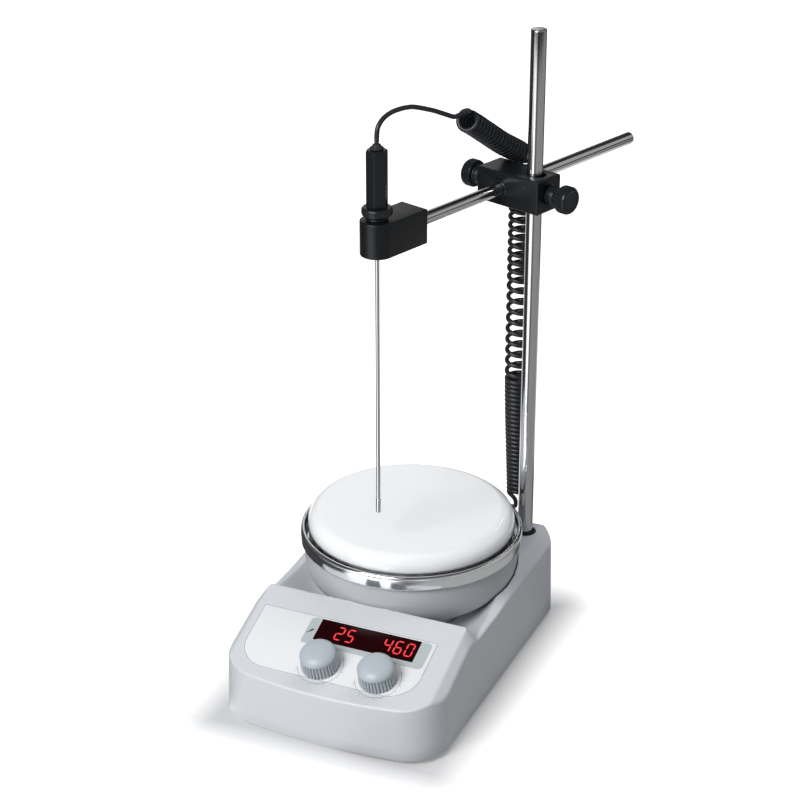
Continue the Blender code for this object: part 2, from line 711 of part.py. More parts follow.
def post_places():
    """Screw posts in the four corners of the housing."""
    x = HALF_WIDTH - HOUSING_WALL - POST_INSET_SIDE
    return [(side * x, y) for y in (FRONT_Y + POST_INSET_FRONT, REAR_Y - POST_INSET_REAR) for side in (-1, 1)]


def post_top(y):
    """A post ends inside the wall above it."""
    return deck_height(y) - HOUSING_WALL / 2


def foot_places():
    front = (HALF_WIDTH - FOOT_INSET_SIDE, FRONT_Y + FOOT_INSET_FRONT)
    rear = (HALF_WIDTH - FOOT_REAR_INSET_SIDE, REAR_Y - FOOT_INSET_REAR)
    return [(side * x, y) for x, y in (front, rear) for side in (-1, 1)]


def build_base():
    plan = housing_outline(HOUSING_WALL + SEAT_GAP)
    base = extruded("base_plate", "zinc_plate", plan, BASE_PAD_HEIGHT, BASE_THICKNESS)
    pad_plan = rounded_rectangle(HOUSING_WIDTH - 2 * BASE_PAD_SIDE_ROOM, HOUSING_DEPTH - 2 * BASE_PAD_END_ROOM,
                                 BASE_PAD_CORNER_RADIUS)
    join(base, extruded("base_pad", None, pad_plan, 0.0, (BASE_PAD_HEIGHT + BASE_THICKNESS) / 2))
    underside = BASE_PAD_HEIGHT - SEAT_GAP
    for index, (x, y) in enumerate(post_places()):
        hole = cylinder(f"base_screw_hole_{index + 1}", None, POST_BORE, -OVERRUN,
                        BASE_THICKNESS + OVERRUN, centre=(x, y, 0.0), steps=FINE_STEPS)
        cut(base, hole)
        head_bottom = underside - SCREW_HEAD_HEIGHT
        turned(f"base_screw_{index + 1}", "steel",
               [(0.0, SCREW_LENGTH), (SCREW_RADIUS, SCREW_LENGTH), (SCREW_RADIUS, underside),
                (SCREW_HEAD_RADIUS, underside), (SCREW_HEAD_RADIUS, head_bottom), (0.0, head_bottom)],
               steps=FINE_STEPS, location=(x, y, 0.0))
    for index, (x, y) in enumerate(foot_places()):
        hole = cylinder(f"foot_hole_{index + 1}", None, FOOT_STEM_RADIUS + SEAT_GAP, -OVERRUN,
                        BASE_THICKNESS + OVERRUN, centre=(x, y, 0.0), steps=FINE_STEPS)
        cut(base, hole)
        barb_bottom = BASE_THICKNESS + SEAT_GAP
        turned(f"foot_{index + 1}", "black_rubber",
               [(0.0, barb_bottom + FOOT_BARB_HEIGHT), (FOOT_STEM_RADIUS, barb_bottom + FOOT_BARB_HEIGHT),
                (FOOT_BARB_RADIUS, barb_bottom), (FOOT_STEM_RADIUS, barb_bottom),
                (FOOT_STEM_RADIUS, underside), (FOOT_RADIUS, underside), (FOOT_RADIUS, -FOOT_HEIGHT),
                (0.0, -FOOT_HEIGHT)], steps=FINE_STEPS, location=(x, y, 0.0))
    return base


def build_bowl():
    foot = MOAT_FLOOR_HEIGHT + SEAT_GAP
    shoulder_inner = BOWL_SHOULDER_RADIUS - BOWL_WALL
    waist_inner = BOWL_WAIST_RADIUS - BOWL_WALL
    low_inner = BOWL_LOW_RADIUS - BOWL_WALL
    ledge_bottom = BOWL_LEDGE_HEIGHT - BOWL_WALL
    turned("bowl", "housing_grey",
           [(BOWL_RIM_RADIUS, BOWL_RIM_HEIGHT), (BOWL_SHOULDER_RADIUS, BOWL_LEDGE_HEIGHT),
            (BOWL_WAIST_RADIUS, BOWL_WAIST_HEIGHT), (BOWL_LOW_RADIUS, BOWL_LOW_HEIGHT),
            (BOWL_LOW_RADIUS, foot), (BOWL_FOOT_INNER_RADIUS, foot),
            (BOWL_FOOT_INNER_RADIUS, foot + BOWL_WALL), (low_inner, foot + BOWL_WALL),
            (low_inner, BOWL_LOW_HEIGHT), (waist_inner, BOWL_WAIST_HEIGHT), (BOWL_LEDGE_RADIUS, ledge_bottom),
            (BOWL_LEDGE_RADIUS, BOWL_LEDGE_HEIGHT), (shoulder_inner, BOWL_LEDGE_HEIGHT),
            (BOWL_RIM_RADIUS - BOWL_WALL, BOWL_RIM_HEIGHT)], steps=LARGE_STEPS, parent=BOWL)


def build_ring_and_plate():
    top = RING_BOTTOM + RING_HEIGHT
    flange_top = RING_BOTTOM + RING_FLANGE_THICKNESS
    crown = arc(RING_RADIUS - RING_ROUNDING, top - RING_ROUNDING, RING_ROUNDING, 90, 0, 3)
    turned("plate_ring", "chrome",
           [(RING_INNER_RADIUS, top), *crown, (RING_RADIUS, RING_BOTTOM), (RING_FLANGE_RADIUS, RING_BOTTOM),
            (RING_FLANGE_RADIUS, flange_top), (RING_INNER_RADIUS, flange_top)],
           steps=LARGE_STEPS, parent=BOWL)

    shield = cylinder("heat_shield", "steel", PLATE_RADIUS, SHIELD_BOTTOM, SHIELD_TOP,
                      steps=LARGE_STEPS, parent=BOWL)
    for index in range(PILLAR_COUNT):
        angle = 2 * math.pi * index / PILLAR_COUNT
        place = (PILLAR_CIRCLE_RADIUS * math.cos(angle), PILLAR_CIRCLE_RADIUS * math.sin(angle), 0.0)
        cylinder(f"plate_pillar_{index + 1}", "steel", PILLAR_RADIUS, BRACKET_TOP + SEAT_GAP,
                 PAN_BOTTOM - SEAT_GAP, centre=place, steps=SMALL_STEPS, parent=BOWL)
        hole = cylinder(f"shield_hole_{index + 1}", None, PILLAR_RADIUS + SEAT_GAP,
                        SHIELD_BOTTOM - OVERRUN, SHIELD_TOP + OVERRUN, centre=place, steps=SMALL_STEPS, parent=BOWL)
        cut(shield, hole)

    turned("plate_pan", "steel",
           [(PAN_RADIUS, PAN_TOP), (PAN_RADIUS, PAN_BOTTOM), (PAN_INNER_RADIUS, PAN_BOTTOM),
            (PAN_INNER_RADIUS, PAN_TOP)], steps=LARGE_STEPS, parent=BOWL)
    cylinder("heater_insulation", "mineral_wool", PAN_INNER_RADIUS - SEAT_GAP, SHIELD_TOP + SEAT_GAP,
             PLATE_BOTTOM, steps=MEDIUM_STEPS, parent=BOWL)
    cylinder("heating_element", "zinc_plate", HEATER_RADIUS, PLATE_BOTTOM + SEAT_GAP, HEATER_TOP,
             steps=MEDIUM_STEPS, parent=BOWL)

    inner = PLATE_RADIUS - PLATE_WALL
    ceiling = PLATE_TOP_HEIGHT - PLATE_THICKNESS
    flat_radius = PLATE_RADIUS - PLATE_SHOULDER
    shoulder = arc(flat_radius, PLATE_TOP_HEIGHT - PLATE_SHOULDER, PLATE_SHOULDER, 90, 0, 4)
    turned("heating_plate", "ceramic_white",
           [(0.0, PLATE_TOP_HEIGHT), *shoulder, (PLATE_RADIUS, PLATE_BOTTOM + PLATE_EDGE_ROUNDING),
            (PLATE_RADIUS - PLATE_EDGE_ROUNDING, PLATE_BOTTOM), (inner, PLATE_BOTTOM),
            (inner, ceiling - PLATE_WALL), (inner - PLATE_WALL, ceiling), (0.0, ceiling)],
           steps=LARGE_STEPS, parent=BOWL)


def build_motor():
    bracket_radius = BOWL_SHOULDER_RADIUS - BOWL_WALL - SEAT_GAP
    turned("motor_bracket", "zinc_plate",
           [(bracket_radius, BRACKET_TOP), (bracket_radius, BRACKET_BOTTOM),
            (BRACKET_BORE_RADIUS, BRACKET_BOTTOM), (BRACKET_BORE_RADIUS, BRACKET_TOP)],
           steps=MEDIUM_STEPS, parent=BOWL)
    bore = MOTOR_SHAFT_RADIUS + MOTOR_SHAFT_CLEARANCE
    bore_bottom = MOTOR_TOP - MOTOR_SHAFT_DEPTH - MOTOR_SHAFT_CLEARANCE
    bottom = MOTOR_TOP - MOTOR_HEIGHT
    turned("motor", "motor_grey",
           [(bore, MOTOR_TOP), (MOTOR_RADIUS - MOTOR_CAP_ROUNDING, MOTOR_TOP),
            (MOTOR_RADIUS, MOTOR_TOP - MOTOR_CAP_ROUNDING), (MOTOR_RADIUS, bottom + MOTOR_CAP_ROUNDING),
            (MOTOR_RADIUS - MOTOR_CAP_ROUNDING, bottom), (0.0, bottom), (0.0, bore_bottom),
            (bore, bore_bottom)], steps=MEDIUM_STEPS, parent=BOWL)
    yoke_top = YOKE_BOTTOM + YOKE_THICKNESS
    yoke = extruded("magnet_yoke", "zinc_plate",
                    rounded_rectangle(YOKE_LENGTH, YOKE_WIDTH, YOKE_WIDTH / 2 - SEAT_GAP, 5),
                    YOKE_BOTTOM, yoke_top, parent=BOWL)
    shaft = cylinder("motor_shaft", None, MOTOR_SHAFT_RADIUS, MOTOR_TOP - MOTOR_SHAFT_DEPTH,
                     yoke_top - YOKE_THICKNESS / 2, parent=BOWL)
    join(yoke, shaft)
    for index, side in enumerate((-1, 1)):
        cylinder(f"magnet_{index + 1}", "magnet_grey", MAGNET_RADIUS, yoke_top + SEAT_GAP,
                 yoke_top + SEAT_GAP + MAGNET_HEIGHT, centre=(side * MAGNET_SPACING / 2, 0.0, 0.0),
                 steps=MEDIUM_STEPS, parent=BOWL)


def label_outline(margin):
    left = LABEL_LEFT_INSET - HALF_WIDTH - margin
    right = HALF_WIDTH - LABEL_RIGHT_INSET + margin
    bottom = LABEL_BOTTOM - margin
    top = LABEL_TOP + margin
    radius = LABEL_CORNER_RADIUS + margin
    points = arc(left + radius, bottom + radius, radius, 180, 270, 5)
    points += arc(right - radius, bottom + radius, radius, 270, 360, 5)
    points += [(right, top), (left, top)]
    return points


def build_panel(shell):
    """Everything on and behind the sloping panel, in its own frame: X across, Y up the slope, Z out."""
    recess = extruded("label_recess", None, label_outline(SEAT_GAP), -LABEL_THICKNESS - SEAT_GAP,
                      OVERRUN, parent=PANEL)
    cut(shell, recess)
    label = extruded("panel_label", "label_white", label_outline(0.0), -LABEL_THICKNESS, 0.0, parent=PANEL)

    window_centre = (WINDOW_CENTRE_X, WINDOW_CENTRE_S)
    window_bottom = -LABEL_THICKNESS - WINDOW_THICKNESS
    window_gap = 2 * SEAT_GAP
    pocket_depth = WINDOW_THICKNESS + LABEL_THICKNESS + SEAT_GAP
    pocket = box("window_pocket", None,
                 (WINDOW_WIDTH + window_gap, WINDOW_HEIGHT + window_gap, pocket_depth + OVERRUN),
                 (*window_centre, (OVERRUN - pocket_depth) / 2), parent=PANEL)
    light_way = box("window_light_way", None,
                    (WINDOW_WIDTH - 2 * WINDOW_LEDGE, WINDOW_HEIGHT - 2 * WINDOW_LEDGE,
                     2 * (HOUSING_WALL + OVERRUN)), (*window_centre, 0.0), parent=PANEL)
    cut(label, pocket)
    cut(shell, pocket, light_way)
    box("display_window", "window_black", (WINDOW_WIDTH, WINDOW_HEIGHT, -window_bottom),
        (*window_centre, window_bottom / 2), parent=PANEL)

    # The panel wall is the housing wall measured upright, so its inner face lies a little nearer.
    inner_face = -HOUSING_WALL * math.cos(PANEL_ANGLE)
    pot_top = inner_face - SEAT_GAP
    board_top = pot_top - POT_DEPTH - SEAT_GAP
    bush_radius = POT_BUSH_RADIUS
    bore = KNOB_SHAFT_RADIUS + KNOB_SHAFT_CLEARANCE
    bush_top = -LABEL_THICKNESS - SEAT_GAP
    dome = [(KNOB_HEIGHT - KNOB_DOME + KNOB_DOME * math.sin(angle), KNOB_CAP_RADIUS * math.cos(angle), 0.0)
            for angle in map(math.radians, KNOB_DOME_ANGLES)]
    for name, x in (("temperature", TEMPERATURE_KNOB_X), ("speed", SPEED_KNOB_X)):
        place = (x, KNOB_S, 0.0)
        hole = cylinder(f"{name}_hole", None, bush_radius + POT_BUSH_CLEARANCE,
                        -HOUSING_WALL - OVERRUN, OVERRUN, centre=place, parent=PANEL)
        cut(shell, hole)
        cut(label, hole)
        pot_bottom = pot_top - POT_DEPTH
        turned(f"{name}_pot", "zinc_plate",
               [(bore, bush_top), (bush_radius, bush_top), (bush_radius, pot_top), (POT_RADIUS, pot_top),
                (POT_RADIUS, pot_bottom), (0.0, pot_bottom), (0.0, pot_bottom + POT_FLOOR),
                (bore, pot_bottom + POT_FLOOR)], steps=SMALL_STEPS, location=place, parent=PANEL)
        knob = ribbed(f"{name}_knob", "knob_grey",
                      [(SEAT_GAP, KNOB_RADIUS, KNOB_RIB_DEPTH), (KNOB_SKIRT_HEIGHT, KNOB_RADIUS, KNOB_RIB_DEPTH),
                       (KNOB_SKIRT_HEIGHT, KNOB_CAP_RADIUS, 0.0), *dome],
                      KNOB_RIBS, location=place, parent=PANEL)
        shaft_bottom = pot_bottom + POT_FLOOR + KNOB_SHAFT_CLEARANCE
        shaft = cylinder(f"{name}_knob_shaft", None, KNOB_SHAFT_RADIUS, shaft_bottom,
                         KNOB_SKIRT_HEIGHT / 2, centre=place, parent=PANEL)
        join(knob, shaft)

    box("display_module", "window_black",
        (WINDOW_WIDTH + 2 * DISPLAY_MARGIN, WINDOW_HEIGHT + 2 * DISPLAY_MARGIN, POT_DEPTH),
        (*window_centre, pot_top - POT_DEPTH / 2), parent=PANEL)
    board_left = TEMPERATURE_KNOB_X - POT_RADIUS - BOARD_MARGIN - DISPLAY_MARGIN
    board_left = min(board_left, WINDOW_CENTRE_X - WINDOW_WIDTH / 2 - BOARD_MARGIN)
    board_right = max(SPEED_KNOB_X + POT_RADIUS, WINDOW_CENTRE_X + WINDOW_WIDTH / 2) + BOARD_MARGIN
    board_low = KNOB_S - POT_RADIUS
    board_high = WINDOW_CENTRE_S + WINDOW_HEIGHT / 2
    board = box("control_board", "board_green",
                (board_right - board_left, board_high - board_low, BOARD_THICKNESS),
                ((board_left + board_right) / 2, (board_high + board_low) / 2,
                 board_top - BOARD_THICKNESS / 2), parent=PANEL)
    inset = BOARD_PILLAR_RADIUS + SEAT_GAP
    pillar_y = board_low + inset
    for index, pillar_x in enumerate((board_left + inset, board_right - inset)):
        for row, y in enumerate((pillar_y, board_high - inset)):
            pillar = cylinder(f"board_pillar_{index + 1}_{row + 1}", None, BOARD_PILLAR_RADIUS,
                              board_top - BOARD_THICKNESS / 2, pot_top, centre=(pillar_x, y, 0.0),
                              steps=FINE_STEPS, parent=PANEL)
            join(board, pillar)


def build_power_board():
    bottom = BASE_THICKNESS + POWER_BOARD_LIFT
    top = bottom + BOARD_THICKNESS
    centre = (POWER_BOARD_CENTRE_X, POWER_BOARD_CENTRE_Y)
    board = box("power_board", "board_green", (POWER_BOARD_WIDTH, POWER_BOARD_DEPTH, BOARD_THICKNESS),
                (*centre, (bottom + top) / 2))
    x = POWER_BOARD_WIDTH / 2 - BOARD_PILLAR_RADIUS - SEAT_GAP
    y = POWER_BOARD_DEPTH / 2 - BOARD_PILLAR_RADIUS - SEAT_GAP
    for index, (side, end) in enumerate(((-1, -1), (1, -1), (-1, 1), (1, 1))):
        pillar = cylinder(f"power_pillar_{index + 1}", None, BOARD_PILLAR_RADIUS, BASE_THICKNESS + SEAT_GAP,
                          (bottom + top) / 2, centre=(centre[0] + side * x, centre[1] + end * y, 0.0), steps=FINE_STEPS)
        join(board, pillar)
    box("transformer", "motor_grey", (TRANSFORMER_WIDTH, TRANSFORMER_DEPTH, TRANSFORMER_HEIGHT),
        (centre[0] - POWER_BOARD_WIDTH / 4, centre[1], top + SEAT_GAP + TRANSFORMER_HEIGHT / 2))
    cylinder("capacitor", "black_satin", CAPACITOR_RADIUS, top + SEAT_GAP, top + SEAT_GAP + CAPACITOR_HEIGHT,
             centre=(centre[0] + POWER_BOARD_WIDTH / 4, centre[1], 0.0))


def build_rocker(shell):
    """Power rocker in a bezel on the left side: X runs out of the wall, Z up."""
    hole = box("bezel_hole", None,
               (BEZEL_DEPTH * 2, BEZEL_WIDTH + 2 * SEAT_GAP, BEZEL_HEIGHT + 2 * SEAT_GAP),
               (0.0, 0.0, 0.0), parent=ROCKER)
    cut(shell, hole)
    flange_outer = SEAT_GAP + BEZEL_FLANGE_THICKNESS
    bezel = box("rocker_bezel", "black_satin", (BEZEL_DEPTH + flange_outer, BEZEL_WIDTH, BEZEL_HEIGHT),
                ((flange_outer - BEZEL_DEPTH) / 2, 0.0, 0.0), parent=ROCKER)
    flange = box("bezel_flange", None,
                 (BEZEL_FLANGE_THICKNESS, BEZEL_WIDTH + 2 * BEZEL_FLANGE, BEZEL_HEIGHT + 2 * BEZEL_FLANGE),
                 (SEAT_GAP + BEZEL_FLANGE_THICKNESS / 2, 0.0, 0.0), parent=ROCKER)
    join(bezel, flange)
    room = BEZEL_DEPTH - BEZEL_WALL + flange_outer + OVERRUN
    well = box("bezel_well", None, (room, BEZEL_WIDTH - 2 * BEZEL_WALL, BEZEL_HEIGHT - 2 * BEZEL_WALL),
               (flange_outer + OVERRUN - room / 2, 0.0, 0.0), parent=ROCKER)
    cut(bezel, well)
    half_height = BEZEL_HEIGHT / 2 - BEZEL_WALL - ROCKER_CLEARANCE
    half_width = BEZEL_WIDTH / 2 - BEZEL_WALL - SEAT_GAP
    back = arc(0.0, 0.0, ROCKER_RADIUS, 200, 340, 6)
    tilt = math.radians(ROCKER_TILT_DEG)
    dip = half_height * math.sin(tilt)
    front_edge = ROCKER_PIVOT_DEPTH + BEZEL_FLANGE_THICKNESS
    profile = [(half_height * math.cos(tilt), front_edge), (0.0, front_edge - dip / 2),
               (-half_height * math.cos(tilt), front_edge)]
    profile += [(-half_height * math.cos(tilt), 0.0), *back, (half_height * math.cos(tilt), 0.0)]
    sections = [[(depth, side * half_width, height) for height, depth in profile] for side in (-1, 1)]
    loft("power_rocker", "black_satin", sections, parent=ROCKER_PIVOT)


def build_inlet(shell):
    """Mains inlet at the rear: X across, Y into the room, Z up."""
    hole = box("inlet_hole", None,
               (INLET_WIDTH + 2 * SEAT_GAP, 2 * INLET_DEPTH, INLET_HEIGHT + 2 * SEAT_GAP),
               (0.0, 0.0, 0.0), parent=INLET)
    cut(shell, hole)
    flange_outer = SEAT_GAP + INLET_FLANGE_THICKNESS
    body_length = INLET_DEPTH + flange_outer
    inlet = box("mains_inlet", "black_satin", (INLET_WIDTH, body_length, INLET_HEIGHT),
                (0.0, flange_outer - body_length / 2, 0.0), parent=INLET)
    flange_plan = rounded_rectangle(INLET_WIDTH + 2 * INLET_FLANGE_WIDTH, INLET_HEIGHT + INLET_FLANGE_WIDTH,
                                    INLET_CORNER)
    flange = extruded("inlet_flange", None, flange_plan, SEAT_GAP, flange_outer, axis="y", parent=INLET)
    join(inlet, flange)
    well_depth = INLET_DEPTH - INLET_WALL + flange_outer
    well = box("inlet_well", None,
               (INLET_WIDTH - 2 * INLET_WALL, well_depth + OVERRUN, INLET_HEIGHT - 2 * INLET_WALL),
               (0.0, flange_outer + OVERRUN - (well_depth + OVERRUN) / 2, 0.0), parent=INLET)
    cut(inlet, well)
    floor = flange_outer - well_depth
    for index, (x, z) in enumerate(((-BLADE_SPACING, 0.0), (0.0, EARTH_BLADE_LIFT), (BLADE_SPACING, 0.0))):
        blade = box(f"inlet_blade_{index + 1}", None, (BLADE_WIDTH, BLADE_LENGTH + INLET_WALL / 2, BLADE_HEIGHT),
                    (x, floor + (BLADE_LENGTH - INLET_WALL / 2) / 2, z), parent=INLET)
        join(inlet, blade)


def build_socket(shell):
    """Sensor socket at the rear, turned about its own axis."""
    hole = cylinder("socket_hole", None, SOCKET_RADIUS + SEAT_GAP, -HOUSING_WALL - OVERRUN, OVERRUN,
                    steps=SMALL_STEPS, axis="y", parent=SOCKET)
    cut(shell, hole)
    outer = SEAT_GAP + SOCKET_FLANGE_THICKNESS
    turned("sensor_socket", "black_satin",
           [(SOCKET_BORE_RADIUS, outer), (SOCKET_FLANGE_RADIUS, outer), (SOCKET_FLANGE_RADIUS, SEAT_GAP),
            (SOCKET_RADIUS, SEAT_GAP), (SOCKET_RADIUS, -SOCKET_DEPTH), (0.0, -SOCKET_DEPTH),
            (0.0, SOCKET_FLOOR - SOCKET_DEPTH), (SOCKET_BORE_RADIUS, SOCKET_FLOOR - SOCKET_DEPTH)],
           steps=SMALL_STEPS, axis="y", parent=SOCKET)
    body_start = outer + SEAT_GAP
    body_end = body_start + PLUG_LENGTH
    nose_end = outer - PLUG_NOSE_LENGTH
    turned("sensor_plug", "black_rubber",
           [(0.0, body_end + PLUG_SLEEVE_LENGTH), (PLUG_SLEEVE_RADIUS, body_end + PLUG_SLEEVE_LENGTH),
            (PLUG_SLEEVE_RADIUS + CABLE_RADIUS, body_end), (PLUG_RADIUS - CABLE_RADIUS, body_end),
            (PLUG_RADIUS, body_end - CABLE_RADIUS), (PLUG_RADIUS, body_start), (PLUG_NOSE_RADIUS, body_start),
            (PLUG_NOSE_RADIUS, nose_end), (0.0, nose_end)], steps=SMALL_STEPS, axis="y", parent=SOCKET)
    return body_end + PLUG_SLEEVE_LENGTH


def build_rod(shell):
    hole = cylinder("bush_hole", None, BUSH_RADIUS + SEAT_GAP, MOAT_FLOOR_HEIGHT, DECK_HEIGHT + OVERRUN,
                    parent=STAND)
    cut(shell, hole)
    rod_bottom = BASE_THICKNESS + SEAT_GAP + BUSH_FLOOR + ROD_CLEARANCE
    bore = ROD_RADIUS + ROD_CLEARANCE
    deck = deck_height(ROD_Y) + SEAT_GAP
    flange_top = deck + BUSH_FLANGE_THICKNESS
    bottom = BASE_THICKNESS + SEAT_GAP
    turned("rod_bush", "steel",
           [(bore, flange_top), (BUSH_FLANGE_RADIUS, flange_top), (BUSH_FLANGE_RADIUS, deck + SEAT_GAP),
            (BUSH_RADIUS, deck + SEAT_GAP), (BUSH_RADIUS, bottom), (0.0, bottom), (0.0, bottom + BUSH_FLOOR),
            (bore, bottom + BUSH_FLOOR)], steps=MEDIUM_STEPS, parent=STAND)
    turned("support_rod", "steel",
           [(0.0, ROD_TOP), (ROD_RADIUS - ROD_CHAMFER, ROD_TOP), (ROD_RADIUS, ROD_TOP - ROD_CHAMFER),
            (ROD_RADIUS, rod_bottom + ROD_CHAMFER), (ROD_RADIUS - ROD_CHAMFER, rod_bottom), (0.0, rod_bottom)],
           steps=MEDIUM_STEPS, parent=STAND)


def stadium(start, end, radius, steps=8):
    """Outline of a slot along X between two round ends."""
    return arc(end, 0.0, radius, -90, 90, steps) + arc(start, 0.0, radius, 90, 270, steps)


def build_boss():
    boss = box("boss_head", "black_satin", (BOSS_LEFT + BOSS_RIGHT, BOSS_FRONT + BOSS_BACK, BOSS_HEIGHT),
               ((BOSS_RIGHT - BOSS_LEFT) / 2, (BOSS_BACK - BOSS_FRONT) / 2, BOSS_HEIGHT_Z), parent=STAND)
    rounded(boss, BOSS_ROUNDING, segments=1)
    slot_radius = ROD_RADIUS + ROD_CLEARANCE
    rod_hole = extruded("boss_rod_hole", None, stadium(0.0, BOSS_HOLE_PLAY, slot_radius),
                        BOSS_BOTTOM - OVERRUN, BOSS_TOP + OVERRUN, parent=STAND)
    arm_hole = cylinder("boss_arm_hole", None, ARM_RADIUS + ARM_CLEARANCE, -BOSS_FRONT - OVERRUN,
                        BOSS_BACK + OVERRUN, centre=(-ARM_OFFSET, 0.0, BOSS_HEIGHT_Z), axis="y", parent=STAND)
    shank_hole = THUMB_SHANK_RADIUS + THUMB_SHANK_CLEARANCE
    left_hole = cylinder("boss_arm_screw_hole", None, shank_hole, -BOSS_LEFT - OVERRUN, -ARM_OFFSET,
                         centre=(0.0, 0.0, BOSS_HEIGHT_Z), steps=SMALL_STEPS, axis="x", parent=STAND)
    right_hole = cylinder("boss_rod_screw_hole", None, shank_hole, 0.0, BOSS_RIGHT + OVERRUN,
                          centre=(0.0, 0.0, BOSS_HEIGHT_Z), steps=SMALL_STEPS, axis="x", parent=STAND)
    cut(boss, rod_hole, arm_hole, left_hole, right_hole)

    tip_to_face = {
        "arm_clamp_screw": (ARM_OFFSET + ARM_RADIUS + ARM_CLEARANCE, BOSS_LEFT, -1),
        "rod_clamp_screw": (ROD_RADIUS + ROD_CLEARANCE + BOSS_HOLE_PLAY, BOSS_RIGHT, 1),
    }
    for name, (tip, face, side) in tip_to_face.items():
        neck = face + SEAT_GAP
        disc = neck + THUMB_NECK_LENGTH
        end = disc + THUMB_THICKNESS
        rings = [(tip, THUMB_SHANK_RADIUS, 0.0), (neck, THUMB_SHANK_RADIUS, 0.0), (neck, THUMB_NECK_RADIUS, 0.0),
                 (disc, THUMB_NECK_RADIUS, 0.0), (disc, THUMB_RADIUS, THUMB_RIB_DEPTH),
                 (end - THUMB_RIB_DEPTH, THUMB_RADIUS, THUMB_RIB_DEPTH),
                 (end, THUMB_RADIUS - THUMB_RIB_DEPTH, 0.0)]
        rings = [(side * height, radius, depth) for height, radius, depth in rings]
        ribbed(name, "black_satin", rings, THUMB_RIBS, location=(0.0, 0.0, BOSS_HEIGHT_Z), axis="x",
               parent=STAND)

    turned("cross_arm", "steel",
           [(0.0, ARM_BACK), (ARM_RADIUS - ROD_CHAMFER, ARM_BACK), (ARM_RADIUS, ARM_BACK - ROD_CHAMFER),
            (ARM_RADIUS, ROD_CHAMFER - ARM_FRONT), (ARM_RADIUS - ROD_CHAMFER, -ARM_FRONT), (0.0, -ARM_FRONT)],
           steps=SMALL_STEPS, location=(-ARM_OFFSET, 0.0, BOSS_HEIGHT_Z), axis="y", parent=STAND)


def build_probe():
    """Holder on the arm's front end and the probe that hangs in it, about the probe's upright axis."""
    plan = arc(0.0, 0.0, HOLDER_RADIUS, 180, 360, 10)
    plan += [(HOLDER_RADIUS, HOLDER_REACH), (-HOLDER_RADIUS, HOLDER_REACH)]
    holder = extruded("probe_holder", "black_satin", plan, HOLDER_BOTTOM, HOLDER_TOP, parent=PROBE)
    rounded(holder, HOLDER_ROUNDING, segments=1)
    bore_start = HOLDER_REACH - HOLDER_BORE_DEPTH - SEAT_GAP
    arm_bore = cylinder("holder_arm_bore", None, ARM_RADIUS + ARM_CLEARANCE, bore_start,
                        HOLDER_REACH + OVERRUN, centre=(0.0, 0.0, BOSS_HEIGHT_Z), axis="y", parent=PROBE)
    neck_bottom = COLLAR_BOTTOM - PROBE_NECK_LENGTH
    neck_bore = cylinder("holder_neck_bore", None, PROBE_NECK_RADIUS + PROBE_NECK_CLEARANCE,
                         neck_bottom - PROBE_NECK_CLEARANCE, HOLDER_TOP + OVERRUN, parent=PROBE)
    stem_bore = cylinder("holder_stem_bore", None, PROBE_STEM_RADIUS + PROBE_STEM_CLEARANCE,
                         HOLDER_BOTTOM - OVERRUN, HOLDER_TOP, steps=FINE_STEPS, parent=PROBE)
    cut(holder, arm_bore, neck_bore, stem_bore)

    washer_bottom = HOLDER_TOP + SEAT_GAP
    collar_rings = [(neck_bottom, PROBE_NECK_RADIUS, 0.0), (washer_bottom, PROBE_NECK_RADIUS, 0.0),
                    (washer_bottom, PROBE_WASHER_RADIUS, 0.0), (COLLAR_BOTTOM, PROBE_WASHER_RADIUS, 0.0),
                    (COLLAR_BOTTOM, PROBE_COLLAR_RADIUS, PROBE_COLLAR_RIB_DEPTH),
                    (COLLAR_TOP, PROBE_COLLAR_RADIUS, PROBE_COLLAR_RIB_DEPTH)]
    collar = ribbed("probe_collar", "black_satin", collar_rings, PROBE_COLLAR_RIBS, parent=PROBE)
    collar_bore = cylinder("collar_bore", None, PROBE_STEM_RADIUS + SEAT_GAP, neck_bottom - OVERRUN,
                           COLLAR_TOP + OVERRUN, steps=FINE_STEPS, parent=PROBE)
    cut(collar, collar_bore)

    hex_radius = PROBE_HANDLE_WIDTH / 2 / math.cos(math.radians(30))
    handle = cylinder("probe_handle", "black_satin", hex_radius, HANDLE_BOTTOM, HANDLE_TOP, steps=6,
                      parent=PROBE)
    rounded(handle, PROBE_COLLAR_RIB_DEPTH)
    stem_top = HANDLE_BOTTOM + PROBE_NECK_LENGTH
    handle_bore = cylinder("handle_bore", None, PROBE_STEM_RADIUS + SEAT_GAP, HANDLE_BOTTOM - OVERRUN,
                           stem_top + SEAT_GAP, steps=FINE_STEPS, parent=PROBE)
    cut(handle, handle_bore)
    turned("probe_gland", "black_rubber",
           [(0.0, GLAND_TOP), (CABLE_RADIUS + CABLE_RADIUS / 2, GLAND_TOP), (PROBE_GLAND_RADIUS, HANDLE_TOP + SEAT_GAP),
            (0.0, HANDLE_TOP + SEAT_GAP)], steps=SMALL_STEPS, parent=PROBE)
    tip_top = PROBE_BOTTOM + PROBE_TIP_LENGTH
    round_end = arc(0.0, PROBE_BOTTOM + PROBE_TIP_RADIUS, PROBE_TIP_RADIUS, 0, -90, 3)[:-1]
    turned("probe_stem", "steel",
           [(0.0, stem_top), (PROBE_STEM_RADIUS, stem_top), (PROBE_STEM_RADIUS, tip_top),
            (PROBE_TIP_RADIUS, tip_top), *round_end, (0.0, PROBE_BOTTOM)], steps=FINE_STEPS, parent=PROBE)


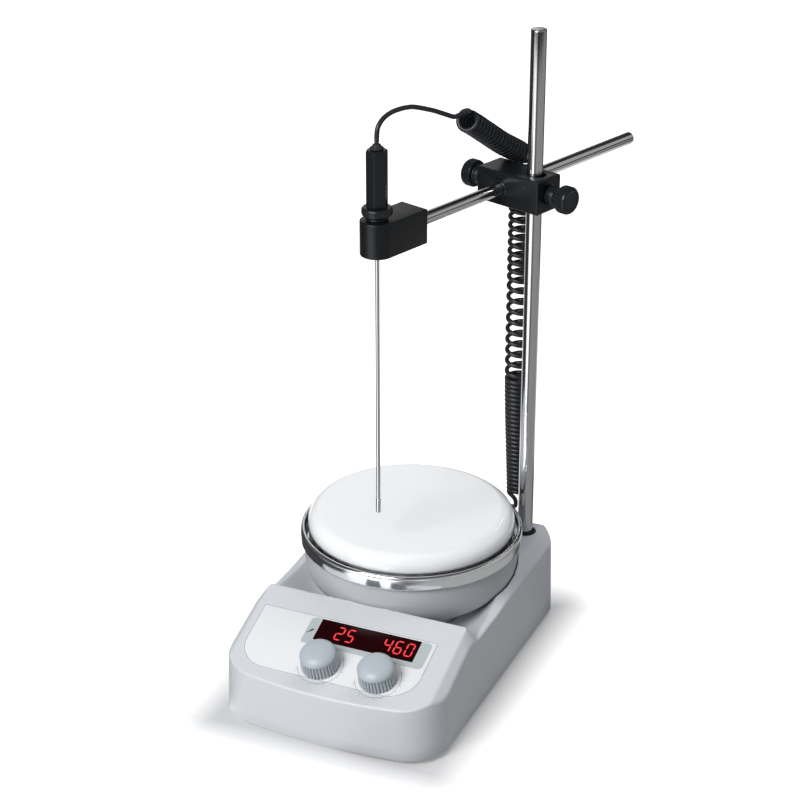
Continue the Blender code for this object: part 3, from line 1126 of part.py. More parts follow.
def smooth_route(route, steps=ROUTE_STEPS):
    """Closely spaced points on a smooth curve through a route's points."""
    points = [Vector(point) for point in route]
    points = [2 * points[0] - points[1], *points, 2 * points[-1] - points[-2]]
    curve = []
    for before, start, end, after in zip(points, points[1:], points[2:], points[3:]):
        span = (end - start).length
        start_slope = (end - before) * (span / (end - before).length)
        end_slope = (after - start) * (span / (after - start).length)
        for index in range(steps):
            t = index / steps
            curve.append((2 * t**3 - 3 * t**2 + 1) * start + (t**3 - 2 * t**2 + t) * start_slope
                         + (3 * t**2 - 2 * t**3) * end + (t**3 - t**2) * end_slope)
    return np.array([*curve, points[-2]])


def distances(points):
    return np.concatenate([[0.0], np.cumsum(np.linalg.norm(np.diff(points, axis=0), axis=1))])


def even_points(route, spacing):
    """Points along the smooth route at even distances."""
    points = smooth_route(route)
    along = distances(points)
    count = max(2, round(along[-1] / spacing))
    marks = np.linspace(0.0, along[-1], count + 1)
    return np.column_stack([np.interp(marks, along, points[:, axis]) for axis in range(3)])


def side_directions(points):
    """A direction square to the curve at each point, carried along it without twist."""
    tangents = np.gradient(points, axis=0)
    tangents /= np.linalg.norm(tangents, axis=1)[:, None]
    side = np.cross(tangents[0], (1.0, 0.0, 0.0))
    sides = []
    for tangent in tangents:
        side = side - tangent * np.dot(side, tangent)
        side /= np.linalg.norm(side)
        sides.append(side)
    sides = np.array(sides)
    return sides, np.cross(tangents, sides)


def coil_points(route, turns, open_share):
    """A curly lead along a route: open turns on the first share of its length, tight ones on the rest."""
    axis = smooth_route(route, 4 * ROUTE_STEPS)
    along = distances(axis)
    length = along[-1]
    sides, crosses = side_directions(axis)
    run = 2 * CABLE_RADIUS
    marks = [run, run + (length - 2 * run) * open_share, length - run]
    turned_so_far = np.interp(along, marks, [0.0, turns[0], turns[0] + turns[1]])
    radii = CURL_RADIUS * np.interp(along, [run, run + CURL_RAMP, length - run - CURL_RAMP, length - run],
                                    [0.0, 1.0, 1.0, 0.0])
    steps = (turns[0] + turns[1]) * CURL_POINTS
    phases = np.arange(steps + 1) / CURL_POINTS
    inside = (along >= run) & (along <= length - run)
    places = np.interp(phases, turned_so_far[inside], along[inside])
    places = np.concatenate([[0.0], places, [length]])
    phases = np.concatenate([[0.0], phases, [phases[-1]]])

    def at(values):
        return np.column_stack([np.interp(places, along, values[:, column]) for column in range(3)])

    angles = 2 * math.pi * phases
    reach = np.interp(places, along, radii)
    return (at(axis) + at(sides) * (reach * np.cos(angles))[:, None]
            + at(crosses) * (reach * np.sin(angles))[:, None])


def least_gap(points):
    """The least distance between the lead's surface and itself, a third of a turn or more apart."""
    fine = np.concatenate([np.linspace(start, end, 6, endpoint=False) for start, end in zip(points, points[1:])])
    along = distances(fine)
    least = math.inf
    for index, point in enumerate(fine):
        apart = np.abs(along - along[index]) > math.pi * CURL_RADIUS
        if apart.any():
            least = min(least, np.linalg.norm(fine[apart] - point, axis=1).min())
    return least - 2 * CABLE_RADIUS


def build_lead():
    """The sensor lead from the probe over the arm, down in curls behind the boss and into its plug."""
    for name, route in (("lead_rise", RISE_ROUTE), ("lead_fall", FALL_ROUTE), ("lead_tail", TAIL_ROUTE)):
        piece = tube(name, "cable_black", even_points(route, CABLE_POINT_SPACING), CABLE_RADIUS, 2)
        if route is not TAIL_ROUTE:
            piece.parent = STAND
    for name, route, turns, share in (("lead_coil_upper", UPPER_ROUTE, (UPPER_TURNS, 0), 1.0),
                                      ("lead_coil_hanging", HANG_ROUTE,
                                       (HANG_OPEN_TURNS, HANG_TIGHT_TURNS), HANG_OPEN_SHARE)):
        points = coil_points(route, turns, share)
        piece = tube(name, "cable_black", points, CABLE_RADIUS, 1)
        piece.parent = STAND
        print(f"{name}: least gap to itself {least_gap(points) * 1000:.2f} mm")


BOWL = frame_empty("bowl_axis", (0.0, BOWL_Y, 0.0))
PANEL = frame_empty("panel_frame", (0.0, FRONT_Y, FRONT_EDGE_HEIGHT), (PANEL_ANGLE, 0.0, 0.0))
ROCKER = frame_empty("rocker_frame", (-HALF_WIDTH, ROCKER_Y, ROCKER_Z), (0.0, 0.0, math.pi))
ROCKER_PIVOT = frame_empty("rocker_pivot", (0.0, 0.0, 0.0), (0.0, -math.radians(ROCKER_TILT_DEG), 0.0),
                           parent=ROCKER)
INLET = frame_empty("inlet_frame", (INLET_X, REAR_Y, INLET_Z))
SOCKET = frame_empty("socket_frame", (SOCKET_X, REAR_Y, SOCKET_Z))
STAND = frame_empty("stand_axis", (ROD_X, ROD_Y, 0.0), (0.0, 0.0, math.radians(STAND_TURN_DEG)))
PROBE = frame_empty("probe_axis", (-ARM_OFFSET, PROBE_U, 0.0), parent=STAND)

HOUSING = build_housing()
build_base()
build_bowl()
build_ring_and_plate()
build_motor()
build_panel(HOUSING)
build_power_board()
build_rocker(HOUSING)
build_inlet(HOUSING)
build_socket(HOUSING)
build_rod(HOUSING)
build_boss()
build_probe()
build_lead()
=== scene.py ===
"""Heated magnetic stirrer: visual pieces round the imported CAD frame, their finishes, stage and camera."""
import json
import math

import bmesh
import bpy
import numpy as np
from bpy.props import FloatProperty, FloatVectorProperty, IntProperty, PointerProperty
from bpy.types import Operator, Panel, PropertyGroup
from mathutils import Matrix, Vector


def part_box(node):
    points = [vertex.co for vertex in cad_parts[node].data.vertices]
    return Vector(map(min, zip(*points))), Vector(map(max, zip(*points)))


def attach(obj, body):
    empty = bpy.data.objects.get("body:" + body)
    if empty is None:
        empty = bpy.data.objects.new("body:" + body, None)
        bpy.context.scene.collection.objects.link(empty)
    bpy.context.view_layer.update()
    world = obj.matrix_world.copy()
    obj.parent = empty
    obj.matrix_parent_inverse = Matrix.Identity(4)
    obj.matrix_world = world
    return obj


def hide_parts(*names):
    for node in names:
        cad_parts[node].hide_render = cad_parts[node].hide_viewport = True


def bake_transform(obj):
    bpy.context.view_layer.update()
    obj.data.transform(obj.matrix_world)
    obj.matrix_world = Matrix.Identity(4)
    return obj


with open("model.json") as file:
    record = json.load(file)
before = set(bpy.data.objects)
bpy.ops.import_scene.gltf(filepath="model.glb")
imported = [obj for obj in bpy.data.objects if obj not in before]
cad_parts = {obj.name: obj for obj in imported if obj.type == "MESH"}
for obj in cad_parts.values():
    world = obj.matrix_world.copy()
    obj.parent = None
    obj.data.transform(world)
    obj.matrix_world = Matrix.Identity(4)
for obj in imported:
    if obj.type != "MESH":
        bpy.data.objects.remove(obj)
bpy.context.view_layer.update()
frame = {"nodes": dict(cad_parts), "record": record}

bl_info = {
    "name": "Heated magnetic stirrer",
    "version": (1, 0, 0),
    "blender": (4, 5, 0),
    "location": "View3D > Sidebar > Stirrer",
    "description": "Dresses the CAD frame of a heated magnetic stirrer with its visual pieces",
    "category": "Add Mesh",
}

MM = 0.001
MICRON = 0.000001


def in_mm(*points, out=0.0, lift=0.0):
    """Pairs in millimetres as metres, moved by out along the first and by lift along the second axis."""
    return [(x * MM + out, y * MM + lift) for x, y in points]


# Housing, as the CAD solid has it
HALF_WIDTH = 75 * MM
FRONT_Y = -108 * MM
REAR_Y = 108 * MM
WALL = 3 * MM
DRAFT = 1.5 * MM
DRAFT_HEIGHT = 62 * MM
FRONT_BOW = 3 * MM
FRONT_CORNER = 28 * MM
REAR_CORNER = 12 * MM
FRONT_EDGE_HEIGHT = 35 * MM
RIDGE_Y = -40 * MM
RIDGE_HEIGHT = 59.8 * MM
RIDGE_BACK_Y = -38 * MM
MOUTH_Y = -32 * MM
VALLEY_END_Y = -4 * MM
VALLEY_FLOOR = 34 * MM
DECK_RISE = 44 * MM
DECK_HEIGHT = 60 * MM
CREST_HEIGHT = 50 * MM
BAND_WIDTH = 9 * MM
BAND_GROWTH = 55 * MM
BAND_LEAST = 3.8 * MM
PANEL_BAND = 6.8 * MM
PANEL_BAND_DROP = 6.5 * MM
PANEL_ANGLE = math.atan2(RIDGE_HEIGHT - FRONT_EDGE_HEIGHT, RIDGE_Y - FRONT_Y)
WELL_RADIUS = 47 * MM
BOWL_GAP = 0.8 * MM

# Radius and height of the bowl's outer face, from its foot to its rim
BOWL_SHAPE = in_mm((49.2, 34), (49.2, 36), (50.2, 38.5), (54.5, 41.3), (59.4, 44.2), (63.6, 47.5),
                   (66.8, 51.5), (68.8, 56), (69.7, 61), (70, 67), (70, 74.2))

# Turns that lay what is made along Z along X or Y, and the frames of the panel, the stand and its parts
TO_X = Matrix.Rotation(math.radians(90), 4, "Y")
TO_Y = Matrix.Rotation(math.radians(-90), 4, "X")
PANEL = Matrix.Translation((0, FRONT_Y, FRONT_EDGE_HEIGHT)) @ Matrix.Rotation(PANEL_ANGLE, 4, "X")
DIAL_Y = 21 * MM
STAND_TURN = math.radians(-18.4)
STAND = Matrix.Translation((56.4 * MM, 93.4 * MM, 0)) @ Matrix.Rotation(STAND_TURN, 4, "Z")
BOSS_Z = 302 * MM
ARM_OFFSET = 18.4 * MM
ARM_LINE = STAND @ Matrix.Translation((-ARM_OFFSET, 0, BOSS_Z)) @ TO_Y
SCREW_LINE = STAND @ Matrix.Translation((0, 0, BOSS_Z)) @ TO_X
PROBE = STAND @ Matrix.Translation((-ARM_OFFSET, -125 * MM, 0))

# Coiled lead, close to the CAD solids' routes: the tail in the base's frame, the others in the stand's
RISE_ROUTE = [(-0.0184, -0.1250, 0.3608), (-0.0184, -0.1250, 0.3640), (-0.0186, -0.1236, 0.3695),
              (-0.0189, -0.1188, 0.3734), (-0.0193, -0.1120, 0.3752), (-0.0197, -0.1054, 0.3754)]
FALL_ROUTE = [(-0.0197, -0.1051, 0.3754), (-0.0202, -0.0979, 0.3748), (-0.0207, -0.0903, 0.3733),
              (-0.0219, -0.0720, 0.3666), (-0.0225, -0.0630, 0.3626), (-0.0231, -0.0540, 0.3585),
              (-0.0237, -0.0450, 0.3544)]
UPPER_ROUTE = [(-0.0237, -0.0447, 0.3543), (-0.0250, -0.0360, 0.3507), (-0.0274, -0.0150, 0.3374),
               (-0.0292, 0.0022, 0.3262), (-0.0304, 0.0148, 0.3190), (-0.0312, 0.0232, 0.3140),
               (-0.0315, 0.0262, 0.3108), (-0.0315, 0.0264, 0.3080)]
HANG_ROUTE = [(-0.0315, 0.0264, 0.3077), (-0.0315, 0.0264, 0.2300), (-0.0314, 0.0266, 0.1500),
              (-0.0295, 0.0293, 0.0660)]
TAIL_ROUTE = [(0.0376, 0.1305, 0.0657), (0.0374, 0.1306, 0.0605), (0.0345, 0.1312, 0.0560),
              (0.0295, 0.1335, 0.0525), (0.0258, 0.1390, 0.0480), (0.0238, 0.1470, 0.0425),
              (0.0226, 0.1550, 0.0350), (0.0214, 0.1592, 0.0265), (0.0204, 0.1560, 0.0195),
              (0.0200, 0.1490, 0.0175), (0.0200, 0.1400, 0.0175)]
UPPER_TURNS = 20
# Turns and run of the hanging coil's stretches, the last as long as is left
HANG_RUNS = [(14, 83.6 * MM), (9, 69 * MM), (29, None)]
# How far down the hanging coil its second piece starts, and the share of that piece that bends
HANG_PART = 100 * MM
# Where round the coil its first turn starts, the bend into it, and how far the lead takes to reach it.
# The upper coil's share of the curl radius, and how far apart the points of a straight stretch are
CURL_START = math.radians(150)
CURL_BEND = 4.5 * MM
CURL_RISE = 11 * MM
UPPER_SHARE = 0.86
LEAD_STEP = 1.1 * MM
CURL_POINTS = 16
CURL_STEPS = 120

# Brightness of the set's walls by bearing in degrees from the camera, for what mirrors them
WALL_TURN_DEG = 23.8
WALL_STRENGTH = 2.1
FLOOR_WALLS = [(-180, 1.2), (-152, 1.2), (-144, 0.06), (-68, 0.05), (-60, 2.1), (-20, 2.1), (-13, 0.12),
               (4, 0.2), (16, 0.42), (100, 0.38), (114, 0.34), (121, 0.10), (165, 0.10), (176, 1.2)]
SKY_WALLS = [(-180, 0.75), (-172, 0.7), (-160, 0.10), (-70, 0.12), (-58, 1.4), (-16, 1.4), (-8, 0.3),
             (20, 0.45), (90, 0.5), (124, 0.5), (131, 0.04), (171, 0.04), (178, 0.75)]
NEAR_WALLS = [(-180, 0.9), (-150, 0.9), (-140, 0.06), (-68, 0.05), (-60, 2.1), (-20, 2.1), (-13, 0.12),
              (4, 0.2), (16, 0.42), (80, 0.40), (112, 0.38), (128, 0.8), (150, 0.9), (176, 0.9)]
# Share of the near walls by half the distance in metres, and of the sky's walls by height
NEAR_SPAN = [(0, 0), (0.15, 0), (0.17, 1), (0.32, 1), (0.40, 0), (1, 0)]
SKY_SPAN = [(0, 0.06), (0.08, 0.06), (0.13, 1), (0.58, 1), (0.66, 0.12), (1, 0.3)]
FLOOR_REACH = 4.0
# How far the floor's painted shadow reaches beside the housing, and the glow that is left at its foot: the
# floor's glow is lowered there, on top of the lamps' real soft shadow
PAINTED_SHADOW_REACH = 38 * MM
PAINTED_SHADOW_GLOW = 0.22

CAMERA_PLACE = (0.4945, -1.1090, 0.7635)
CAMERA_TARGET = (0.0057, 0.0, 0.1880)
CAMERA_LENS = 97.3
# Name, place, size and power of each lamp, and whether bright metal mirrors it
LAMPS = [("key_lamp", (-0.50, -1.60, 1.50), 1.0, 44, True), ("back_lamp", (0.4, 1.0, 1.7), 1.2, 13, False)]
LAMP_TARGET = (0.0, 0.0, 0.12)

SEGMENTS = {"0": "abcdef", "2": "abdeg", "4": "bcfg", "5": "acdfg", "6": "acdefg"}


def size_property(name, description, default, least, most):
    return FloatProperty(name=name, description=description, default=default * MM, min=least * MM,
                         max=most * MM, unit="LENGTH")


def count_property(name, description, default, least, most):
    return IntProperty(name=name, description=description, default=default, min=least, max=most)


def colour_property(name, description, default):
    return FloatVectorProperty(name=name, description=description, default=default, min=0, max=1,
                               subtype="COLOR")


class StirrerSizes(PropertyGroup):
    """Sizes that a maker would change"""

    edge_rounding: size_property("Edge rounding", "Radius of the housing's outer edges", 1.3, 0.5, 4)
    knob_ribs: count_property("Knob ribs", "Grip ribs round each knob", 34, 12, 60)
    knob_rib_width: size_property("Knob rib width", "Width of one grip rib", 1.62, 0.4, 3)
    screw_ribs: count_property("Thumb screw ribs", "Grip ribs round each clamp screw", 30, 8, 48)
    label_lift: size_property("Label lift", "How far the label stands above the panel", 0.15, 0.05, 0.5)
    digit_height: size_property("Digit height", "Height of the display's digits", 9.6, 4, 14)
    digit_slant: FloatProperty(name="Digit slant", description="Lean of the display's digits",
                               default=math.radians(2), min=0, max=0.5, subtype="ANGLE")
    lead_radius: size_property("Lead radius", "Radius of the sensor lead's jacket", 1.5, 0.5, 2)
    curl_radius: size_property("Curl radius", "Radius of the lead's curls at their middle", 7, 3, 8)


class StirrerColours(PropertyGroup):
    """Colours that a maker would change"""

    housing: colour_property("Housing", "Housing; the bowl is a shade darker", (0.585, 0.605, 0.635))
    label: colour_property("Label", "Membrane on the panel", (0.735, 0.745, 0.76))
    field: colour_property("Display field", "Printed field round the display", (0.44, 0.475, 0.485))
    knob: colour_property("Knobs", "Temperature and speed knobs", (0.415, 0.455, 0.495))
    plate: colour_property("Plate", "Glazed top of the hot plate", (0.88, 0.89, 0.90))
    digits: colour_property("Digits", "Lit segments of the display", (1.0, 0.055, 0.06))
    clamps: colour_property("Clamps", "Boss head, holder and probe handle", (0.0065, 0.0078, 0.0095))
    lead: colour_property("Lead", "Jacket of the sensor lead", (0.016, 0.018, 0.022))


# Meshes


def new_piece(name, data):
    piece = bpy.data.objects.new(name, data)
    bpy.context.scene.collection.objects.link(piece)
    return piece


def mesh_from(name, points, faces):
    mesh = bpy.data.meshes.new(name)
    mesh.from_pydata([tuple(point) for point in points], [], [tuple(face) for face in faces])
    mesh.update()
    return mesh


def outward(mesh):
    """Turns a closed mesh's faces outwards."""
    form = bmesh.new()
    form.from_mesh(mesh)
    bmesh.ops.recalc_face_normals(form, faces=form.faces)
    form.to_mesh(mesh)
    form.free()


def baked(piece):
    """Applies the piece's modifiers to its mesh and removes them."""
    graph = bpy.context.evaluated_depsgraph_get()
    mesh = bpy.data.meshes.new_from_object(piece.evaluated_get(graph))
    piece.modifiers.clear()
    if piece.type == "MESH":
        piece.data = mesh
        return piece
    made = new_piece(piece.name + "_mesh", mesh)
    name = piece.name
    bpy.data.objects.remove(piece)
    made.name = name
    return made


def bevelled(piece, width, segments, angle_deg=30):
    bevel = piece.modifiers.new("Edges", "BEVEL")
    bevel.width = width
    bevel.segments = segments
    bevel.limit_method = "ANGLE"
    bevel.angle_limit = math.radians(angle_deg)
    return baked(piece)


def cut(piece, cutters, operation="DIFFERENCE"):
    """Cuts closed meshes out of a piece, or keeps what is inside them, in one Boolean."""
    form = bmesh.new()
    for cutter in cutters:
        form.from_mesh(cutter.data)
        bpy.data.objects.remove(cutter)
    mesh = bpy.data.meshes.new("cutters")
    form.to_mesh(mesh)
    form.free()
    tool = new_piece("cutters", mesh)
    change = piece.modifiers.new("Holes", "BOOLEAN")
    change.operation = operation
    change.object = tool
    change.solver = "EXACT"
    piece = baked(piece)
    bpy.data.objects.remove(tool)
    return piece


def finished(piece, body, finish_name, replaces=(), smooth_deg=38):
    """Gives a piece its shading, finish and body, and hides the CAD nodes it replaces."""
    piece.data.shade_smooth()
    piece.data.set_sharp_from_angle(angle=math.radians(smooth_deg))
    piece.data.materials.clear()
    piece.data.materials.append(look(finish_name))
    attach(piece, body)
    if replaces:
        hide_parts(*replaces)


def filleted(points, radius, steps):
    """An open line with its inner corners rounded; radius is one value or one for each inner corner."""
    inner = points[1:-1]
    radii = list(radius) if hasattr(radius, "__len__") else [radius] * len(inner)
    made = [Vector(points[0])]
    for before, corner, after, size in zip(points, inner, points[2:], radii):
        corner = Vector(corner)
        back = Vector(before) - corner
        ahead = Vector(after) - corner
        reach = min(size, 0.48 * back.length, 0.48 * ahead.length)
        if reach <= 0:
            made.append(corner)
            continue
        start = corner + back.normalized() * reach
        end = corner + ahead.normalized() * reach
        for index in range(steps + 1):
            t = index / steps
            made.append((1 - t) ** 2 * start + 2 * t * (1 - t) * corner + t * t * end)
    made.append(Vector(points[-1]))
    return [tuple(point) for point in made]


def solid(name, points, faces, place=Matrix.Identity(4)):
    """A piece from a closed mesh, with its faces outwards."""
    mesh = mesh_from(name, points, faces)
    mesh.transform(place)
    outward(mesh)
    return new_piece(name, mesh)


def between(low, high, count):
    """Faces between two rings of points, from the first point of each."""
    return [(low + index, low + (index + 1) % count, high + (index + 1) % count, high + index)
            for index in range(count)]


def turned(name, profile, steps, place=Matrix.Identity(4)):
    """A solid of revolution from a profile of radius and height: from pole to pole, or a ring."""
    points, faces, starts = [], [], []
    for radius, height in profile:
        starts.append(len(points))
        ring = arc(0, 0, radius, 0, 360, steps)[:-1] if radius > 0 else [(0, 0)]
        points += [(x, y, height) for x, y in ring]
    rows = list(range(len(profile)))
    closing = [(rows[-1], rows[0])] if profile[0][0] > 0 else []
    for low, high in [*zip(rows, rows[1:]), *closing]:
        below, above = starts[low], starts[high]
        for index in range(steps):
            after = (index + 1) % steps
            if profile[low][0] <= 0:
                faces.append((below, above + index, above + after))
            elif profile[high][0] <= 0:
                faces.append((below + after, below + index, above))
            else:
                faces.append((below + index, above + index, above + after, below + after))
    return solid(name, points, faces, place)


def bar(name, radius, low, high, steps, place, rounding=0.0):
    """A round bar or cutter between two heights."""
    profile = [(0, low), (radius, low), (radius, high), (0, high)]
    return turned(name, filleted(profile, rounding, 3), steps, place)


def prism(name, outline, bottom, top, place):
    count = len(outline)
    points = [(x, y, height) for height in (bottom, top) for x, y in outline]
    faces = [tuple(range(count))[::-1], tuple(range(count, 2 * count)), *between(0, count, count)]
    return solid(name, points, faces, place)


def block(name, size, centre, place=Matrix.Identity(4)):
    x, y, z = (length / 2 for length in size)
    return prism(name, [(-x, -y), (x, -y), (x, y), (-x, y)], -z, z, place @ Matrix.Translation(centre))


def arc(x, y, radius, start_deg, end_deg, steps):
    angles = [math.radians(start_deg + (end_deg - start_deg) * index / steps) for index in range(steps + 1)]
    return [(x + radius * math.cos(angle), y + radius * math.sin(angle)) for angle in angles]


def rounded_outline(left, right, bottom, top, radii, steps):
    """A rectangle with a radius at each corner: bottom left, bottom right, top right, top left."""
    corners = [(left + radii[0], bottom + radii[0], 180), (right - radii[1], bottom + radii[1], 270),
               (right - radii[2], top - radii[2], 0), (left + radii[3], top - radii[3], 90)]
    made = []
    for (x, y, start), radius in zip(corners, radii):
        made += arc(x, y, radius, start, start + 90, steps)
    return made


def dial(pot):
    """The frame of a knob on the panel, from its potentiometer."""
    low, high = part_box(pot)
    return PANEL @ Matrix.Translation(((low.x + high.x) / 2, DIAL_Y, 0))


# Nodes


def fill(tree, node, inputs):
    """Gives each input of a node its value or its link."""
    for place, value in inputs.items():
        if isinstance(value, bpy.types.NodeSocket):
            tree.links.new(value, node.inputs[place])
        else:
            node.inputs[place].default_value = value
    return node


def add(tree, kind, inputs=None, **settings):
    """A new node with its settings and inputs."""
    node = tree.nodes.new(kind)
    for name, value in settings.items():
        setattr(node, name, value)
    return fill(tree, node, inputs or {})


def output(tree, kind, inputs, **settings):
    """The first output of a new node."""
    return add(tree, kind, inputs, **settings).outputs[0]


def maths(tree, operation, one, other):
    return output(tree, "ShaderNodeMath", {0: one, 1: other}, operation=operation)


def vectors(tree, operation, *values):
    return add(tree, "ShaderNodeVectorMath", dict(enumerate(values)), operation=operation).outputs


def mapped(tree, value, low, high, start=0.0, end=1.0):
    """A value between start and end, mapped to between low and high."""
    return output(tree, "ShaderNodeMapRange", {
        "Value": value, "From Min": start, "From Max": end, "To Min": low, "To Max": high})


def ramp(tree, value, stops):
    """A grey ramp through stops of place and level, in order."""
    made = add(tree, "ShaderNodeValToRGB", {"Fac": value})
    elements = made.color_ramp.elements
    while len(elements) < len(stops):
        elements.new(0.5)
    for element, (place, level) in zip(elements, stops):
        element.position = place
        element.color = (level, level, level, 1)
    return made.outputs["Color"]


def new_group(kind, name, inputs, outputs):
    """A node group with its sockets, and what its input node gives."""
    tree = bpy.data.node_groups.new(name, kind)
    for label, socket_kind, *value in inputs:
        socket = tree.interface.new_socket(label, in_out="INPUT", socket_type="NodeSocket" + socket_kind)
        if value:
            socket.default_value = value[0]
    for label, socket_kind in outputs:
        tree.interface.new_socket(label, in_out="OUTPUT", socket_type="NodeSocket" + socket_kind)
    return tree, tree.nodes.new("NodeGroupInput").outputs


def new_tree(name, **values):
    """A Geometry Nodes tree with a socket for each value and one for its finish."""
    sockets = [(label, "Int" if isinstance(value, int) else "Float", value)
               for label, value in values.items()]
    return new_group("GeometryNodeTree", name, [("Geometry", "Geometry"), *sockets, ("Finish", "Material")],
                     [("Geometry", "Geometry")])


def painted(tree, source, geometry):
    """Ends a tree in Realize Instances and Set Material."""
    real = output(tree, "GeometryNodeRealizeInstances", {"Geometry": geometry})
    paint = output(tree, "GeometryNodeSetMaterial", {"Geometry": real, "Material": source["Finish"]})
    add(tree, "NodeGroupOutput", {"Geometry": paint})
    return tree


def grip_tree():
    """Ribs round a turned piece, joined to it."""
    tree, source = new_tree("grip_ribs", Ribs=24, Radius=0.01, Width=0.001, Length=0.005, Height=0.0)
    circle = output(tree, "GeometryNodeMeshCircle", {"Vertices": source["Ribs"], "Radius": source["Radius"]})
    rib = output(tree, "GeometryNodeMeshCylinder", {
        "Vertices": 10, "Radius": maths(tree, "MULTIPLY", source["Width"], 0.5), "Depth": source["Length"]})
    ribs = output(tree, "GeometryNodeInstanceOnPoints", {"Points": circle, "Instance": rib})
    lift = output(tree, "ShaderNodeCombineXYZ", {"Z": source["Height"]})
    both = add(tree, "GeometryNodeJoinGeometry")
    for part in (output(tree, "GeometryNodeTransform", {"Geometry": ribs, "Translation": lift}),
                 source["Geometry"]):
        tree.links.new(part, both.inputs["Geometry"])
    return painted(tree, source, both.outputs[0])


def sheath_tree():
    """A round jacket along a curve."""
    tree, source = new_tree("lead_jacket", Radius=0.0015)
    ring = output(tree, "GeometryNodeCurvePrimitiveCircle", {"Resolution": 12, "Radius": source["Radius"]})
    return painted(tree, source, output(tree, "GeometryNodeCurveToMesh", {
        "Curve": source["Geometry"], "Profile Curve": ring, "Fill Caps": True}))


def tick_tree():
    """Short printed bars round part of a circle."""
    tree, source = new_tree("scale_ticks", Count=11, Radius=0.015, Start=0.0, Sweep=4.7, Length=0.0012,
                            Width=0.0003, Thickness=0.00004)
    line = output(tree, "GeometryNodeCurveArc", {
        "Radius": source["Radius"], "Start Angle": source["Start"], "Sweep Angle": source["Sweep"],
        "Resolution": 128}, mode="RADIUS")
    points = add(tree, "GeometryNodeCurveToPoints", {"Curve": line, "Count": source["Count"]}).outputs
    size = output(tree, "ShaderNodeCombineXYZ", {
        "X": source["Length"], "Y": source["Thickness"], "Z": source["Width"]})
    return painted(tree, source, output(tree, "GeometryNodeInstanceOnPoints", {
        "Points": points["Points"], "Rotation": points["Rotation"],
        "Instance": output(tree, "GeometryNodeMeshCube", {"Size": size})}))


def screw_tree():
    """Screw heads with a cross recess on the points of a mesh, facing down."""
    tree, source = new_tree("screw_heads", Radius=0.0032, Height=0.0015)
    head = output(tree, "GeometryNodeMeshCylinder", {
        "Vertices": 32, "Radius": source["Radius"], "Depth": source["Height"]})
    down = output(tree, "ShaderNodeCombineXYZ", {"Z": maths(tree, "MULTIPLY", source["Height"], -0.6)})
    for along in ("X", "Y"):
        shares = {"X": 0.28, "Y": 0.28, "Z": 0.7, along: 1.0}
        size = output(tree, "ShaderNodeCombineXYZ", {
            axis: maths(tree, "MULTIPLY", source["Radius"], share) for axis, share in shares.items()})
        slot = output(tree, "GeometryNodeMeshCube", {"Size": size})
        lower = output(tree, "GeometryNodeTransform", {"Geometry": slot, "Translation": down})
        head = output(tree, "GeometryNodeMeshBoolean", {"Mesh 1": head, "Mesh 2": lower},
                     operation="DIFFERENCE", solver="EXACT")
    return painted(tree, source, output(tree, "GeometryNodeInstanceOnPoints", {
        "Points": source["Geometry"], "Instance": head}))


def tone_group():
    """Slow drift of colour and finish over a surface."""
    tree, source = new_group("ShaderNodeTree", "tone_drift", [
        ("Color", "Color", (0.5, 0.5, 0.5, 1)), ("Scale", "Float", 12.0), ("Amount", "Float", 0.04)],
        [("Color", "Color"), ("Mask", "Float")])
    where = add(tree, "ShaderNodeTexCoord").outputs["Object"]
    cloud = output(tree, "ShaderNodeTexNoise", {"Vector": where, "Scale": source["Scale"], "Detail": 4.0})
    spread = mapped(tree, cloud, maths(tree, "SUBTRACT", 1.0, source["Amount"]),
                    maths(tree, "ADD", 1.0, source["Amount"]))
    toned = output(tree, "ShaderNodeVectorMath", {0: source["Color"], "Scale": spread}, operation="SCALE")
    add(tree, "NodeGroupOutput", {"Color": toned, "Mask": cloud})
    return tree


def grain_group():
    """Fine grain, even or drawn out along an axis, as heights."""
    tree, source = new_group("ShaderNodeTree", "fine_grain", [
        ("Scale", "Float", 900.0), ("Stretch", "Vector", (1, 1, 1)), ("Turn", "Vector", (0, 0, 0))],
        [("Height", "Float")])
    where = add(tree, "ShaderNodeTexCoord").outputs["Object"]
    lay = output(tree, "ShaderNodeMapping", {
        "Vector": where, "Scale": source["Stretch"], "Rotation": source["Turn"]}, vector_type="TEXTURE")
    fine = output(tree, "ShaderNodeTexNoise", {
        "Vector": lay, "Scale": source["Scale"], "Detail": 3.0, "Roughness": 0.6})
    add(tree, "NodeGroupOutput", {"Height": fine})
    return tree


BUILT = {}


def once(build):
    """What a building function makes, made once."""
    if build not in BUILT:
        BUILT[build] = build()
    return BUILT[build]


def with_tree(piece, build, **values):
    """Runs a Geometry Nodes tree on a piece and keeps its result as a plain mesh."""
    tree = once(build)
    change = piece.modifiers.new(tree.name, "NODES")
    change.node_group = tree
    for item in tree.interface.items_tree:
        if item.item_type == "SOCKET" and item.in_out == "INPUT" and item.name in values:
            change[item.identifier] = values[item.name]
    return baked(piece)


# Finishes


